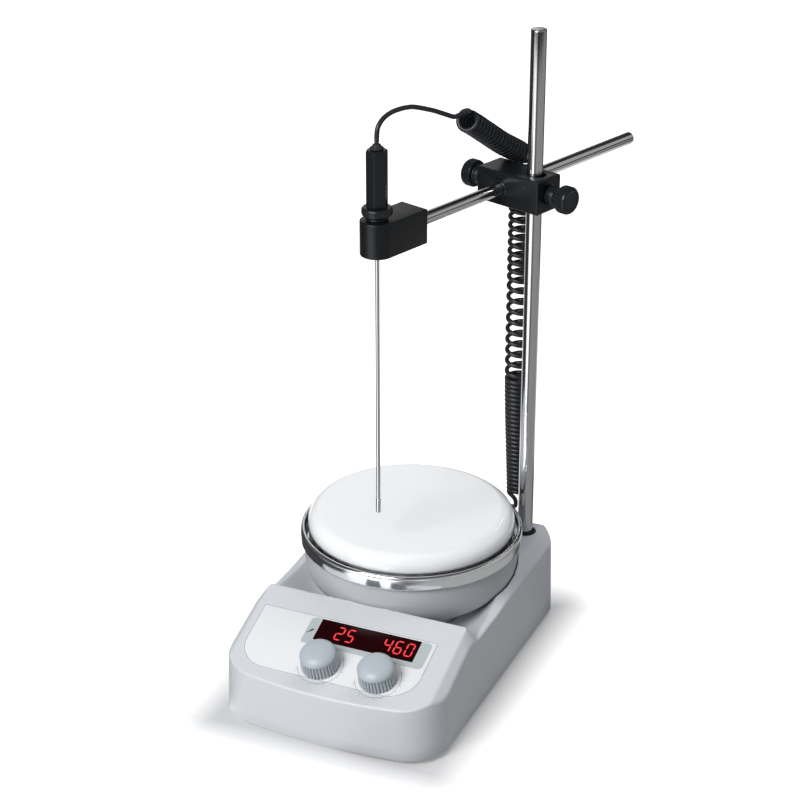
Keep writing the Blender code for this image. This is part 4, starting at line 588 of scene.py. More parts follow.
def finish(name, colour, roughness, metallic, grain, tone, coat=0.0, specular=0.5, spread=0.05,
           stretch=(1, 1, 1), turn=(0, 0, 0), glow=((1, 1, 1), 0.0)):
    """A surface with slow tone drift, varied roughness and fine grain, whose depth is in micrometres."""
    made = bpy.data.materials.new(name)
    made.use_nodes = True
    tree = made.node_tree
    drift = add(tree, "ShaderNodeGroup", {"Color": (*colour, 1.0), "Scale": tone[0], "Amount": tone[1]},
                node_tree=once(tone_group)).outputs
    rough = mapped(tree, drift["Mask"], max(0.02, roughness - spread), min(1.0, roughness + spread))
    fine = output(tree, "ShaderNodeGroup", {"Scale": grain[0], "Stretch": stretch, "Turn": turn},
                 node_tree=once(grain_group))
    bump = output(tree, "ShaderNodeBump", {"Strength": 1.0, "Distance": grain[1] * MICRON, "Height": fine})
    fill(tree, tree.nodes["Principled BSDF"], {
        "Base Color": drift["Color"], "Metallic": metallic, "Roughness": rough, "Normal": bump,
        "Specular IOR Level": specular, "Coat Weight": coat, "Coat Roughness": 0.06,
        "Emission Color": (*glow[0], 1.0), "Emission Strength": glow[1]})
    return made


def recipes():
    """Colour, roughness, metallic share, grain and tone of each finish, and what else some of them have."""
    colours = bpy.context.scene.stirrer_colours
    # Painted shade: the bowl's colour is the housing's darkened to 0.8, standing in for the shade it sits in
    # under the ring
    bowl = [0.8 * value for value in colours.housing]
    table = {
        "housing": (colours.housing, 0.42, 0, (1400, 25), (9, 0.018)),
        "bowl": (bowl, 0.42, 0, (1400, 25), (9, 0.018)),
        "label": (colours.label, 0.30, 0, (2400, 6), (20, 0.01)),
        "field": (colours.field, 0.34, 0, (2400, 6), (20, 0.012)),
        "print": ((0.03, 0.03, 0.034), 0.5, 0, (2400, 4), (200, 0.08)),
        "print_pale": ((0.25, 0.27, 0.30), 0.5, 0, (2400, 4), (200, 0.05)),
        "window": ((0.006, 0.001, 0.0015), 0.25, 0, (900, 2), (60, 0.2)),
        "digits": ((0.2, 0.01, 0.01), 0.4, 0, (1800, 10), (300, 0.05)),
        "knob": (colours.knob, 0.40, 0, (1500, 30), (40, 0.02)),
        "plate": (colours.plate, 0.10, 0, (260, 20), (16, 0.012)),
        "chrome": ((0.86, 0.87, 0.88), 0.11, 1, (500, 2), (30, 0.02)),
        "rod_steel": ((0.55, 0.55, 0.56), 0.13, 1, (1500, 3), (26, 0.04)),
        "arm_steel": ((0.60, 0.60, 0.61), 0.11, 1, (1500, 3), (26, 0.04)),
        "steel": ((0.60, 0.60, 0.61), 0.28, 1, (1300, 6), (40, 0.04)),
        "sheet": ((0.55, 0.56, 0.58), 0.38, 1, (500, 20), (60, 0.10)),
        "clamp": (colours.clamps, 0.36, 0, (1600, 20), (60, 0.12)),
        "satin": ((0.0095, 0.0115, 0.014), 0.30, 0, (1600, 10), (60, 0.12)),
        "rubber": ((0.014, 0.014, 0.014), 0.72, 0, (1100, 40), (50, 0.2)),
        "lead": (colours.lead, 0.36, 0, (1500, 20), (80, 0.15)),
        "wool": ((0.70, 0.66, 0.55), 0.95, 0, (500, 300), (90, 0.15)),
        "motor": ((0.22, 0.23, 0.24), 0.45, 0.8, (900, 30), (40, 0.06)),
        "magnet": ((0.30, 0.30, 0.31), 0.35, 0.9, (900, 20), (40, 0.06)),
        "board": ((0.03, 0.20, 0.09), 0.40, 0, (260, 80), (120, 0.35)),
        "brass": ((0.62, 0.48, 0.24), 0.30, 1, (900, 10), (80, 0.06)),
    }
    more = {
        "label": {"coat": 0.15},
        "window": {"specular": 0.09, "glow": ((1.0, 0.03, 0.06), 0.009)},
        "digits": {"glow": (colours.digits, 1.0)},
        "plate": {"coat": 0.5, "spread": 0.03},
        "chrome": {"spread": 0.025},
        "rod_steel": {"spread": 0.035, "stretch": (1, 1, 50)},
        "arm_steel": {"spread": 0.03, "stretch": (1, 50, 1), "turn": (0, 0, STAND_TURN)},
        "sheet": {"spread": 0.09},
        "clamp": {"specular": 0.28},
        "satin": {"specular": 0.3},
        "lead": {"specular": 0.42},
        "board": {"coat": 0.3},
    }
    return table, more


LOOKS = {}


def look(name):
    """The finish of that name, built once."""
    if name not in LOOKS:
        table, more = recipes()
        LOOKS[name] = finish("finish_" + name, *table[name], **more.get(name, {}))
    return LOOKS[name]


SLOT_LOOKS = {
    "housing_grey": "housing", "label_white": "label", "window_black": "window", "knob_grey": "knob",
    "ceramic_white": "plate", "chrome": "chrome", "steel": "steel", "zinc_plate": "sheet",
    "mineral_wool": "wool", "motor_grey": "motor", "magnet_grey": "magnet", "clamp_black": "clamp",
    "black_satin": "satin", "black_rubber": "rubber", "board_green": "board", "cable_black": "lead",
}


# Housing


def smooth_step(share):
    """A share from 0 to 1, eased at both ends."""
    share = np.clip(share, 0, 1)
    return share * share * (3 - 2 * share)


def smooth_least(one, other, blend):
    share = np.clip(0.5 + 0.5 * (other - one) / blend, 0, 1)
    return other + (one - other) * share - blend * share * (1 - share)


def smooth_most(one, other, blend):
    return -smooth_least(-one, -other, blend)


def band_widths(y):
    """Width of the bevelled band along each side."""
    growth = BAND_LEAST + (BAND_WIDTH - BAND_LEAST) * np.clip((y - MOUTH_Y) / BAND_GROWTH, 0, 1)
    closing = smooth_step((y - RIDGE_Y) / (MOUTH_Y - RIDGE_Y))
    return np.where(y < MOUTH_Y, PANEL_BAND + (BAND_LEAST - PANEL_BAND) * closing, growth)


def housing_top(x, y):
    """Height of the housing's outer surface, without the hollow for the bowl."""
    across = np.abs(x)
    panel = FRONT_EDGE_HEIGHT + math.tan(PANEL_ANGLE) * (y - FRONT_Y)
    back = RIDGE_HEIGHT + 0.4 * MM + (RIDGE_BACK_Y - y) * 2.4
    wedge = smooth_least(panel, back, 1.8 * MM)
    rise = smooth_step((y - VALLEY_END_Y) / DECK_RISE)
    band = band_widths(y)
    closing = smooth_step((y - RIDGE_Y) / (MOUTH_Y - RIDGE_Y))
    inner_crest = CREST_HEIGHT + (DECK_HEIGHT - CREST_HEIGHT) * rise
    floor = VALLEY_FLOOR + (DECK_HEIGHT - VALLEY_FLOOR) * rise
    slope = inner_crest + across - (HALF_WIDTH - band)
    valley = smooth_most(floor, slope, (1 + 9 * (1 - rise)) * MM)
    valley = smooth_least(valley, DECK_HEIGHT + 0.3 * MM, 0.8 * MM)
    valley = smooth_least(valley, CREST_HEIGHT + (y - MOUTH_Y + 3 * MM) * 2.6, 3 * MM)
    top = smooth_most(wedge, valley, 3 * MM)
    crest = np.minimum(CREST_HEIGHT, panel - PANEL_BAND_DROP)
    falling = RIDGE_HEIGHT + (CREST_HEIGHT - RIDGE_HEIGHT) * closing
    inner = np.where(y < RIDGE_Y, np.minimum(panel, RIDGE_HEIGHT),
                     np.where(y < MOUTH_Y, falling, inner_crest))
    plane = crest + (HALF_WIDTH - across) * (inner - crest) / band
    return smooth_least(top, plane, 0.8 * MM)


def hollow(reach):
    """Height up to which the hollow for the bowl cuts the housing away."""
    radii = [radius + BOWL_GAP for radius, height in BOWL_SHAPE[1:-1]] + [72 * MM]
    heights = [VALLEY_FLOOR] + [height - 0.4 * MM for radius, height in BOWL_SHAPE[2:-1]] + [150 * MM]
    return np.interp(reach, radii, heights)


def plan_outline(inset):
    """Plan of the housing as closely spaced points, anticlockwise from the front edge's right end."""
    half = HALF_WIDTH - inset
    front = FRONT_Y + inset
    rear = REAR_Y - inset
    front_radius = FRONT_CORNER - inset
    rear_radius = REAR_CORNER - inset
    points = arc(half - front_radius, front + front_radius, front_radius, -84, 0, 30)
    points += [(half, front + front_radius + (rear - rear_radius - front - front_radius) * index / 130)
               for index in range(1, 130)]
    points += arc(half - rear_radius, rear - rear_radius, rear_radius, 0, 90, 14)
    right = list(points)
    points += [((half - rear_radius) * (1 - 2 * index / 70), rear) for index in range(1, 70)]
    left = [(-x, y) for x, y in right]
    points += left[::-1]
    reach = half - front_radius + front_radius * math.cos(math.radians(84))
    drop = front_radius * (1 - math.sin(math.radians(84)))
    points += [(reach * share, front + drop * share * share - FRONT_BOW * (1 - share * share))
               for share in (index / 56 for index in range(-55, 56))]
    return np.array(points)


def housing_shell(name, rounding, bowl_centre):
    """One closed shell: the outer skin from the well to the rim, and the cavity's skin back again."""
    low = plan_outline(0.0) - bowl_centre
    high = plan_outline(DRAFT) - bowl_centre
    count = len(low)
    rays = low / np.linalg.norm(low, axis=1)[:, None]
    ahead = np.roll(low, -1, axis=0) - np.roll(low, 1, axis=0)
    normals = np.column_stack([ahead[:, 1], -ahead[:, 0]])
    normals /= np.linalg.norm(normals, axis=1)[:, None]
    facing = (rays * normals).sum(axis=1)
    low_reach = np.linalg.norm(low, axis=1)
    high_reach = np.einsum("ij,ij->i", high, normals) / facing

    def limit(heights):
        return low_reach + (high_reach - low_reach) * heights / DRAFT_HEIGHT

    def spots(reach):
        return (bowl_centre + rays * reach[:, None]).T

    def skin(reach):
        return smooth_least(housing_top(*spots(reach)), hollow(reach), 0.8 * MM)

    def ring(reach, heights):
        x, y = spots(reach)
        rings.append(np.column_stack([x, y, heights]))

    rings = []
    same = np.ones(count)
    edge_floor = 48 * MM
    ring(same * WELL_RADIUS, same * (VALLEY_FLOOR - WALL))
    ring(same * WELL_RADIUS, same * (VALLEY_FLOOR - 0.5 * MM))
    ring(same * (WELL_RADIUS + 0.5 * MM), same * VALLEY_FLOOR)
    reach_top = limit(housing_top(*spots(limit(same * CREST_HEIGHT))))
    start = reach_top - rounding / facing
    crease = 0.94 * start
    for share in np.linspace(1, 0.3, 900):
        x, y = spots(start * share)
        beyond = np.abs(x) >= HALF_WIDTH - band_widths(y)
        crease = np.where(beyond, np.minimum(crease, start * share), crease)
    crease = np.clip(crease, edge_floor + 4 * MM, start - 1.6 * MM)
    spans = [(edge_floor, crease - 0.5 * MM, 84), (crease - 0.5 * MM, crease + 0.5 * MM, 5),
             (crease + 0.5 * MM, start, 8)]
    for begin, end, steps in spans:
        for share in np.arange(steps) / steps:
            reach = begin + (end - begin) * share
            ring(reach, skin(reach))
    for angle in np.radians([0, 15, 30, 45, 60, 75, 90]):
        reach = reach_top - rounding * (1 - math.sin(angle)) / facing
        ring(reach, skin(reach) - rounding * (1 - math.cos(angle)))
    wall_top = skin(reach_top) - rounding
    for share in (0.75, 0.5, 0.25, 0.0):
        heights = wall_top * share + 0.6 * MM * (share == 0)
        ring(limit(heights), heights)
    ring(low_reach - 0.4 * MM / facing, same * 0)
    inside = low_reach - WALL / facing
    ring(inside, same * 0)

    def ceiling(reach):
        return np.minimum(housing_top(*spots(reach)) - WALL, hollow(reach - 2.5 * MM) - 2 * MM)

    inside_top = high_reach - WALL / facing - 0.4 * MM
    ring(inside, np.minimum(ceiling(inside_top), DECK_HEIGHT) * 0.5)
    for share in np.linspace(1, 0, 26):
        reach = edge_floor + 3 * MM + (inside_top - edge_floor - 3 * MM) * share
        ring(reach, ceiling(reach))
    faces = []
    for row in range(len(rings)):
        faces += between(row * count, (row + 1) % len(rings) * count, count)
    return solid(name, np.concatenate(rings), faces)


class STIRRER_OT_housing(Operator):
    """Builds the moulded housing and the bowl that stands in it"""

    bl_idname = "stirrer.housing"
    bl_label = "Housing and bowl"

    def execute(self, context):
        low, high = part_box("plate_ring")
        centre = (low + high) / 2
        rounding = context.scene.stirrer_sizes.edge_rounding
        shell = housing_shell("moulded_housing", rounding, np.array([centre.x, centre.y]))
        low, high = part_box("rocker_bezel")
        size = (30 * MM, high.y - low.y - 3 * MM, high.z - low.z - 3 * MM)
        cutters = [block("hole_rocker_bezel", size, (low + high) / 2)]
        low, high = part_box("mains_inlet")
        size = (high.x - low.x - 7.4 * MM, 30 * MM, 20.1 * MM)
        cutters.append(block("hole_mains_inlet", size, (low + high) / 2))
        low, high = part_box("sensor_socket")
        socket = Matrix.Translation(((low.x + high.x) / 2, REAR_Y, (low.z + high.z) / 2)) @ TO_Y
        cutters.append(bar("hole_socket", 8.8 * MM, -8 * MM, 8 * MM, 48, socket))
        cutters.append(bar("hole_bush", 7.5 * MM, 45 * MM, 70 * MM, 48, STAND))
        for node in ("temperature_pot", "speed_pot"):
            cutters.append(bar("hole_" + node, 4.6 * MM, -6 * MM, 4 * MM, 32, dial(node)))
        shell = cut(shell, cutters)
        finished(shell, "base", "housing", ["housing_shell"], smooth_deg=50)

        inside = in_mm((46.4, 34), (46.4, 37.5), (48, 41), (52.8, 44.4), (57.3, 47), (61.1, 50),
                       (63.9, 53.2), (65.6, 57), (66.6, 61.5), (67, 67), (67, 74.2))
        bowl = turned("plate_bowl", filleted(BOWL_SHAPE[::-1] + inside, 2.5 * MM, 5), 160,
                      Matrix.Translation((centre.x, centre.y, 0)))
        finished(bowl, "base", "bowl", ["bowl"])
        return {"FINISHED"}


class STIRRER_OT_hot_plate(Operator):
    """Builds the glazed plate and the chrome ring round it"""

    bl_idname = "stirrer.hot_plate"
    bl_label = "Hot plate and ring"

    def execute(self, context):
        low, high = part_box("plate_ring")
        place = Matrix.Translation(((low.x + high.x) / 2, (low.y + high.y) / 2, 0))
        radius = (high.x - low.x) / 2
        profile = in_mm((-3.2, -1.2), (-2.5, 0), (-1.1, 0), (-0.1, -1.1), (-0.5, -2.2), (0, -3),
                        out=radius, lift=high.z)
        profile += in_mm((0, 1), (-0.9, 0), (-7, 0), (-7, 1.7), (-3.2, 1.7), out=radius, lift=low.z)
        ring = turned("chrome_ring", filleted(profile, 0.5 * MM, 4), 192, place)
        finished(ring, "base", "chrome", ["plate_ring"])

        low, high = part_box("heating_plate")
        radius = (high.x - low.x) / 2
        shoulder = [(8 * math.sin(angle) - 8, 8 * math.cos(angle) - 8)
                    for angle in np.radians(np.linspace(3, 90, 22))]
        profile = [(0, high.z), *in_mm((-8.6, 0), *shoulder, out=radius, lift=high.z),
                   *in_mm((0, 1.6), (-0.5, 0.5), (-1.6, 0), (-3, 0), out=radius, lift=low.z),
                   *in_mm((-3, -8), (-6, -5), out=radius, lift=high.z), (0, high.z - 5 * MM)]
        plate = turned("glazed_plate", profile, 192, place)
        finished(plate, "base", "plate", ["heating_plate"])
        return {"FINISHED"}


class STIRRER_OT_panel(Operator):
    """Builds the label, its print, the window and its digits"""

    bl_idname = "stirrer.panel"
    bl_label = "Label and display"

    def execute(self, context):
        sizes = context.scene.stirrer_sizes
        lift = sizes.label_lift
        thin = 0.05 * MM
        label = prism("panel_membrane", self.membrane(0), -0.4 * MM, lift, PANEL)
        label = bevelled(label, 0.08 * MM, 2)
        finished(label, "base", "label", ["panel_label"])
        border = self.strip(self.membrane(0.25 * MM), self.membrane(0.6 * MM), lift, thin)
        self.printed("membrane_border", border, "print_pale")
        field = rounded_outline(-29.5 * MM, 53 * MM, 34.5 * MM, 55.5 * MM,
                                (2 * MM, 3 * MM, 3 * MM, 3 * MM), 8)
        self.printed("display_field", prism("display_field", field, lift, lift + thin, PANEL), "field")
        self.window(lift)
        self.digits(sizes, "25", -3.6 * MM, lift)
        self.digits(sizes, "460", 32.9 * MM, lift)
        self.marks(lift, thin)
        return {"FINISHED"}

    def membrane(self, gap):
        """The label's outline, drawn in by a gap."""
        return rounded_outline(-64 * MM + gap, 56 * MM - gap, 9 * MM + gap, 57 * MM - gap,
                               (20 * MM - gap, 20 * MM - gap, 1.5 * MM - gap, 1.5 * MM - gap), 16)

    def printed(self, name, piece, ink):
        piece.name = name
        finished(piece, "base", ink)

    def strip(self, outer, inner, bottom, thickness):
        """A closed thin band between two outlines of as many points."""
        count = len(outer)
        up = 2 * count
        points = [(x, y, height) for height in (bottom, bottom + thickness) for x, y in (*outer, *inner)]
        faces = []
        for a in range(count):
            b = (a + 1) % count
            c, d = count + b, count + a
            faces += [(a, b, c, d), (up + d, up + c, up + b, up + a), (a, up + a, up + b, b),
                      (d, c, up + c, up + d)]
        return solid("strip", points, faces, PANEL)

    def window(self, lift):
        low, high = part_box("display_window")
        outline = rounded_outline(low.x, high.x, 38.5 * MM, 55.5 * MM, (0.8 * MM,) * 4, 4)
        pane = prism("display_pane", outline, -2 * MM, lift + 0.12 * MM, PANEL)
        finished(bevelled(pane, 0.12 * MM, 2), "base", "window", ["display_window"])

    def digits(self, sizes, text, middle, lift):
        """Seven-segment digits as pointed bars that lean to the right."""
        height = sizes.digit_height
        width = 0.46 * height
        pitch = 0.77 * height
        bar_width = 0.095 * height
        gap = 0.03 * height
        base = 47 * MM - height / 2
        lean = math.tan(sizes.digit_slant)
        level = {"d": 0.0, "g": height / 2, "a": height}
        points, faces = [], []
        bottom = lift + 0.13 * MM
        for index, sign in enumerate(text):
            left = middle + (index - (len(text) - 1) / 2) * pitch - width / 2
            for segment in SEGMENTS[sign]:
                if segment in level:
                    y = level[segment]
                    ends = ((gap, y), (width - gap, y))
                else:
                    x = 0.0 if segment in "ef" else width
                    y = 0.0 if segment in "ec" else height / 2
                    ends = ((x, y + gap), (x, y + height / 2 - gap))
                (x0, y0), (x1, y1) = ends
                along = Vector((x1 - x0, y1 - y0)).normalized() * bar_width / 2
                side = Vector((-along.y, along.x))
                tail, tip = Vector((x0, y0)), Vector((x1, y1))
                flat = [tail, tail + along - side, tip - along - side, tip, tip - along + side,
                        tail + along + side]
                start = len(points)
                for level_z in (bottom, bottom + 0.06 * MM):
                    points += [(left + p.x + lean * (p.y - height / 2), base + p.y, level_z) for p in flat]
                faces += [tuple(range(start, start + 6))[::-1], tuple(range(start + 6, start + 12)),
                          *between(start, start + 6, 6)]
        self.printed(f"digits_{len(text)}", solid("digits", points, faces, PANEL), "digits")

    def marks(self, lift, thin):
        """Printed arcs and ticks round the knobs, and the probe's sign."""
        for name in ("temperature", "speed"):
            place = dial(name + "_pot")
            line = arc(0, 0, 14.7 * MM, -160, 40, 64) + arc(0, 0, 14.45 * MM, 40, -160, 64)
            line = prism(name + "_arc", line, lift, lift + thin, place)
            self.printed(name + "_arc", line, "print_pale")
            ticks = new_piece(name + "_ticks", bpy.data.meshes.new(name + "_ticks"))
            ticks = with_tree(ticks, tick_tree, Count=11, Radius=15.7 * MM, Start=math.radians(-150),
                              Sweep=math.radians(180), Length=0.9 * MM, Width=0.25 * MM, Thickness=thin,
                              Finish=look("print_pale"))
            ticks.data.transform(place @ Matrix.Translation((0, 0, lift + thin / 2)))
            self.printed(name + "_ticks", ticks, "print_pale")
        sign = in_mm((-28.4, 42.9), (-27.9, 42.4), (-26.6, 43.9), (-26.1, 43.9), (-24.7, 45.6),
                     (-24.9, 46.6), (-25.8, 46.3), (-27.2, 44.6), (-27.1, 44.1))
        sign = prism("probe_sign", sign, lift + thin, lift + 2 * thin, PANEL)
        self.printed("probe_sign", sign, "print")


class STIRRER_OT_knobs(Operator):
    """Builds the two ribbed knobs"""

    bl_idname = "stirrer.knobs"
    bl_label = "Knobs"

    def execute(self, context):
        sizes = context.scene.stirrer_sizes
        dome = [(11.6 * math.cos(angle) ** 0.85, 10.2 + 5 * math.sin(angle))
                for angle in np.radians(np.linspace(0, 87, 26))]
        profile = in_mm((0, -9), (3, -9), (3, 0.3), (10.5, 0.3), (10.5, 9.7), (11.5, 10), *dome,
                        (0, 15.2))
        for name in ("temperature_knob", "speed_knob"):
            knob = turned(name + "_grip", profile, 136)
            knob = with_tree(knob, grip_tree, Ribs=sizes.knob_ribs, Radius=10.75 * MM,
                             Width=sizes.knob_rib_width, Length=9.6 * MM, Height=5.3 * MM,
                             Finish=look("knob"))
            for vertex in knob.data.vertices:
                if vertex.co.z > 0:
                    flare = 1 + 0.065 * max(0, 1 - vertex.co.z / (10 * MM))
                    vertex.co.x *= flare
                    vertex.co.y *= flare
            knob.data.transform(dial(name.replace("knob", "pot")))
            finished(knob, name, "knob", [name])
        return {"FINISHED"}


class STIRRER_OT_fittings(Operator):
    """Builds feet, base screws, mains pins and the sensor plug"""

    bl_idname = "stirrer.fittings"
    bl_label = "Feet, screws and rear fittings"

    def execute(self, context):
        for index in range(1, 5):
            low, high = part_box(f"foot_{index}")
            place = Matrix.Translation(((low.x + high.x) / 2, (low.y + high.y) / 2, 0))
            profile = [(0, high.z), (2.4 * MM, high.z),
                       *in_mm((3.5, 3.4), (2.4, 3.3), (2.4, 0.7), (7.3, 0.7)),
                       *in_mm((7.5, 0.8), (6.9, 0), (4.2, 0), (3.8, 0.5), (0, 0.5), lift=low.z)]
            foot = turned(f"rubber_foot_{index}", filleted(profile, 0.35 * MM, 3), 48, place)
            finished(foot, "base", "rubber", [f"foot_{index}"])
        spots = []
        for index in range(1, 5):
            low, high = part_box(f"base_screw_{index}")
            spots.append(((low.x + high.x) / 2, (low.y + high.y) / 2, low.z + 0.75 * MM))
        screws = new_piece("screw_heads", mesh_from("screw_heads", spots, []))
        screws = with_tree(screws, screw_tree, Radius=3.3 * MM, Height=1.5 * MM, Finish=look("steel"))
        finished(screws, "base", "steel")

        low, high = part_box("mains_inlet")
        middle = (low + high) / 2
        for index, (x, z) in enumerate(((-7, 0), (0, 4), (7, 0))):
            pin = block(f"mains_pin_{index + 1}", (2.3 * MM, 14.6 * MM, 4.3 * MM),
                        (middle.x + x * MM, low.y + 9.1 * MM, middle.z + z * MM))
            finished(bevelled(pin, 0.6 * MM, 3), "base", "brass")

        low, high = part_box("sensor_plug")
        place = Matrix.Translation(((low.x + high.x) / 2, 0, (low.z + high.z) / 2)) @ TO_Y
        start = REAR_Y + 2.6 * MM
        ribs = [(3.7 - 0.24 * step - inset, 20.6 + 1.6 * step + rise) for step in range(5)
                for inset, rise in ((0, 0), (0, 0.9), (0.5, 1.0), (0.5, 1.5))]
        profile = [(0, low.y), (5.8 * MM, low.y),
                   *in_mm((5.8, 0), (7, 0), (7, 3), (6.4, 3.6), (6.4, 15), (5.2, 19.5), (3.9, 20), *ribs,
                          lift=start), (2.2 * MM, high.y), (0, high.y)]
        plug = turned("sensor_plug_body", filleted(profile, 0.3 * MM, 2), 56, place)
        finished(plug, "base", "rubber", ["sensor_plug"])
        return {"FINISHED"}


class STIRRER_OT_stand(Operator):
    """Builds the rod, its bush, the boss head, the cross arm and the clamp screws"""

    bl_idname = "stirrer.stand"
    bl_label = "Rod, boss head and arm"

    def execute(self, context):
        low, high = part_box("support_rod")
        rod = bar("drawn_rod", 5 * MM, low.z, high.z, 72, STAND, 0.9 * MM)
        finished(rod, "support_rod", "rod_steel", ["support_rod"])
        low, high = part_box("rod_bush")
        profile = in_mm((5.2, -0.4), (6.1, -0.4), (6.6, -1), (6.6, -2), (7.2, -2), lift=high.z)
        profile += in_mm((7.2, 0), (5.2, 0), lift=low.z)
        bush = turned("rod_collar", filleted(profile, 0.3 * MM, 3), 64, STAND)
        finished(bush, "base", "satin", ["rod_bush"])
        self.boss()
        arm = bar("drawn_arm", 4 * MM, -103 * MM, 123.4 * MM, 72, ARM_LINE, 0.8 * MM)
        finished(arm, "cross_arm", "arm_steel", ["cross_arm"])
        ribs = context.scene.stirrer_sizes.screw_ribs
        turn = Matrix.Rotation(math.pi, 4, "Y")
        self.clamp_screw("arm_clamp_screw", ribs, 22.7 * MM, 37.3 * MM, SCREW_LINE @ turn)
        self.clamp_screw("rod_clamp_screw", ribs, 7.7 * MM, 12.3 * MM, SCREW_LINE)
        return {"FINISHED"}

    def boss(self):
        body = block("clamp_block", (49 * MM, 23 * MM, 22 * MM), (-12.5 * MM, -0.5 * MM, BOSS_Z), STAND)
        slot = arc(2.4 * MM, 0, 5.3 * MM, -90, 90, 24) + arc(0, 0, 5.3 * MM, 90, 270, 24)
        body = cut(bevelled(body, 1.1 * MM, 4), [
            prism("slot", slot, BOSS_Z - 14 * MM, BOSS_Z + 14 * MM, STAND),
            bar("arm_hole", 4.3 * MM, -15 * MM, 15 * MM, 48, ARM_LINE),
            bar("left_hole", 3.3 * MM, -40 * MM, -19 * MM, 32, SCREW_LINE),
            bar("right_hole", 3.3 * MM, 2 * MM, 15 * MM, 32, SCREW_LINE)])
        finished(bevelled(body, 0.35 * MM, 2, 50), "boss", "clamp", ["boss_head"])
        for index, (face, sign) in enumerate(((-12, -1), (11, 1))):
            profile = in_mm((4.3, -sign), (5.6, -sign), (5.6, 0.5 * sign), (4.3, 0.5 * sign),
                            lift=face * MM)
            ring = turned(f"arm_hole_ring_{index + 1}", filleted(profile, 0.3 * MM, 3), 64, ARM_LINE)
            finished(ring, "boss", "satin")

    def clamp_screw(self, name, ribs, tip, neck, place):
        profile = in_mm((0, 0), (2.6, 0), (3, 0.4), lift=tip)
        profile += in_mm((3, 0), (6, 0), (6, 4.4), (5.4, 5), (5.4, 6), (6, 6.6), (6, 9.6), (8.5, 9.6),
                         (8.5, 15.6), (8.1, 16.8), (6.6, 17.2), (5.9, 16.6), (0, 16.6), lift=neck)
        screw = turned(name + "_grip", filleted(profile, 0.5 * MM, 3), 72)
        screw = with_tree(screw, grip_tree, Ribs=ribs, Radius=8.35 * MM, Width=1.1 * MM, Length=5.2 * MM,
                          Height=neck + 13 * MM, Finish=look("satin"))
        screw.data.transform(place)
        finished(screw, name, "satin", [name])


class STIRRER_OT_probe(Operator):
    """Builds the probe holder and the temperature probe"""

    bl_idname = "stirrer.probe"
    bl_label = "Probe and holder"

    def execute(self, context):
        low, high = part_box("probe_holder")
        outline = arc(0, 0, 10.5 * MM, 180, 360, 40) + in_mm((10.5, 33.5), (-10.5, 33.5))
        holder = bevelled(prism("holder_body", outline, low.z, high.z, PROBE), 0.9 * MM, 4)
        across = PROBE @ Matrix.Translation((0, 0, BOSS_Z)) @ TO_Y
        holder = cut(holder, [bar("neck_hole", 5 * MM, high.z - 11 * MM, high.z + 2 * MM, 48, PROBE),
                              bar("stem_hole", 1.8 * MM, low.z - 2 * MM, high.z - 9 * MM, 32, PROBE),
                              bar("arm_hole", 4.3 * MM, 21.7 * MM, 36 * MM, 48, across)])
        holder = bevelled(holder, 0.3 * MM, 2, 50)
        finished(holder, "probe_holder", "clamp", ["probe_holder"])

        collar_low, collar_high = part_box("probe_collar")
        profile = [(1.6 * MM, collar_low.z), (4.7 * MM, collar_low.z)]
        profile += in_mm((4.7, 0.3), (6.8, 0.3), (6.8, 1.6), (6, 2.2), lift=high.z)
        profile += in_mm((6, -4.8), (9, -4.8), (9.2, -3.8), (9.2, -1), (8.6, 0), (1.6, 0),
                         lift=collar_high.z)
        collar = turned("probe_collar_disc", filleted(profile, 0.5 * MM, 3), 96)
        collar = with_tree(collar, grip_tree, Ribs=32, Radius=9.05 * MM, Width=0.7 * MM, Length=2.9 * MM,
                           Height=collar_high.z - 2.4 * MM, Finish=look("satin"))
        collar.data.transform(PROBE)
        finished(collar, "probe", "satin", ["probe_collar"])

        low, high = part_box("probe_handle")
        hexagon = arc(0, 0, 5.9 * MM / math.cos(math.radians(30)), 0, 300, 5)
        cone = in_mm((0, -1), (9, -1), lift=low.z) + in_mm((9, -2.6), (5, 0.4), (0, 0.4), lift=high.z)
        handle = cut(prism("handle_grip", hexagon, low.z, high.z, PROBE),
                     [turned("handle_cone", cone, 64, PROBE)], "INTERSECT")
        handle = cut(handle, [bar("stem_bore", 1.6 * MM, low.z - 2 * MM, low.z + 14 * MM, 24, PROBE)])
        finished(bevelled(handle, 0.45 * MM, 3, 25), "probe", "satin", ["probe_handle"])

        low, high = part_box("probe_gland")
        profile = in_mm((0, 0), (4.2, 0), (4.2, 1.1), (3, 1.6), lift=low.z)
        profile += [(2.2 * MM, high.z), (0, high.z)]
        gland = turned("lead_gland", filleted(profile, 0.4 * MM, 4), 48, PROBE)
        finished(gland, "probe", "rubber", ["probe_gland"])

        low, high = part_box("probe_stem")
        profile = [(0, high.z), (1.3 * MM, high.z)]
        profile += in_mm((1.3, 9.6), (1.6, 9.1), (1.6, 0), (0, 0), lift=low.z)
        rounding = [0.1 * MM, 0.1 * MM, 0.1 * MM, 1.5 * MM]
        stem = turned("probe_tube", filleted(profile, rounding, 5), 40, PROBE)
        finished(stem, "probe", "rod_steel", ["probe_stem"])
        return {"FINISHED"}


def smooth_route(route, steps):
    """Closely spaced points on a smooth curve through a route's points."""
    points = [Vector(point) for point in route]
    points = [2 * points[0] - points[1], *points, 2 * points[-1] - points[-2]]
    curve = []
    for before, start, end, after in zip(points, points[1:], points[2:], points[3:]):
        span = (end - start).length
        start_slope = (end - before) * (span / (end - before).length)
        end_slope = (after - start) * (span / (after - start).length)
        for index in range(steps):
            t = index / steps
            curve.append((2 * t**3 - 3 * t**2 + 1) * start + (t**3 - 2 * t**2 + t) * start_slope
                         + (3 * t**2 - 2 * t**3) * end + (t**3 - t**2) * end_slope)
    return np.array([*curve, points[-2]])


def distances(points):
    return np.concatenate([[0.0], np.cumsum(np.linalg.norm(np.diff(points, axis=0), axis=1))])


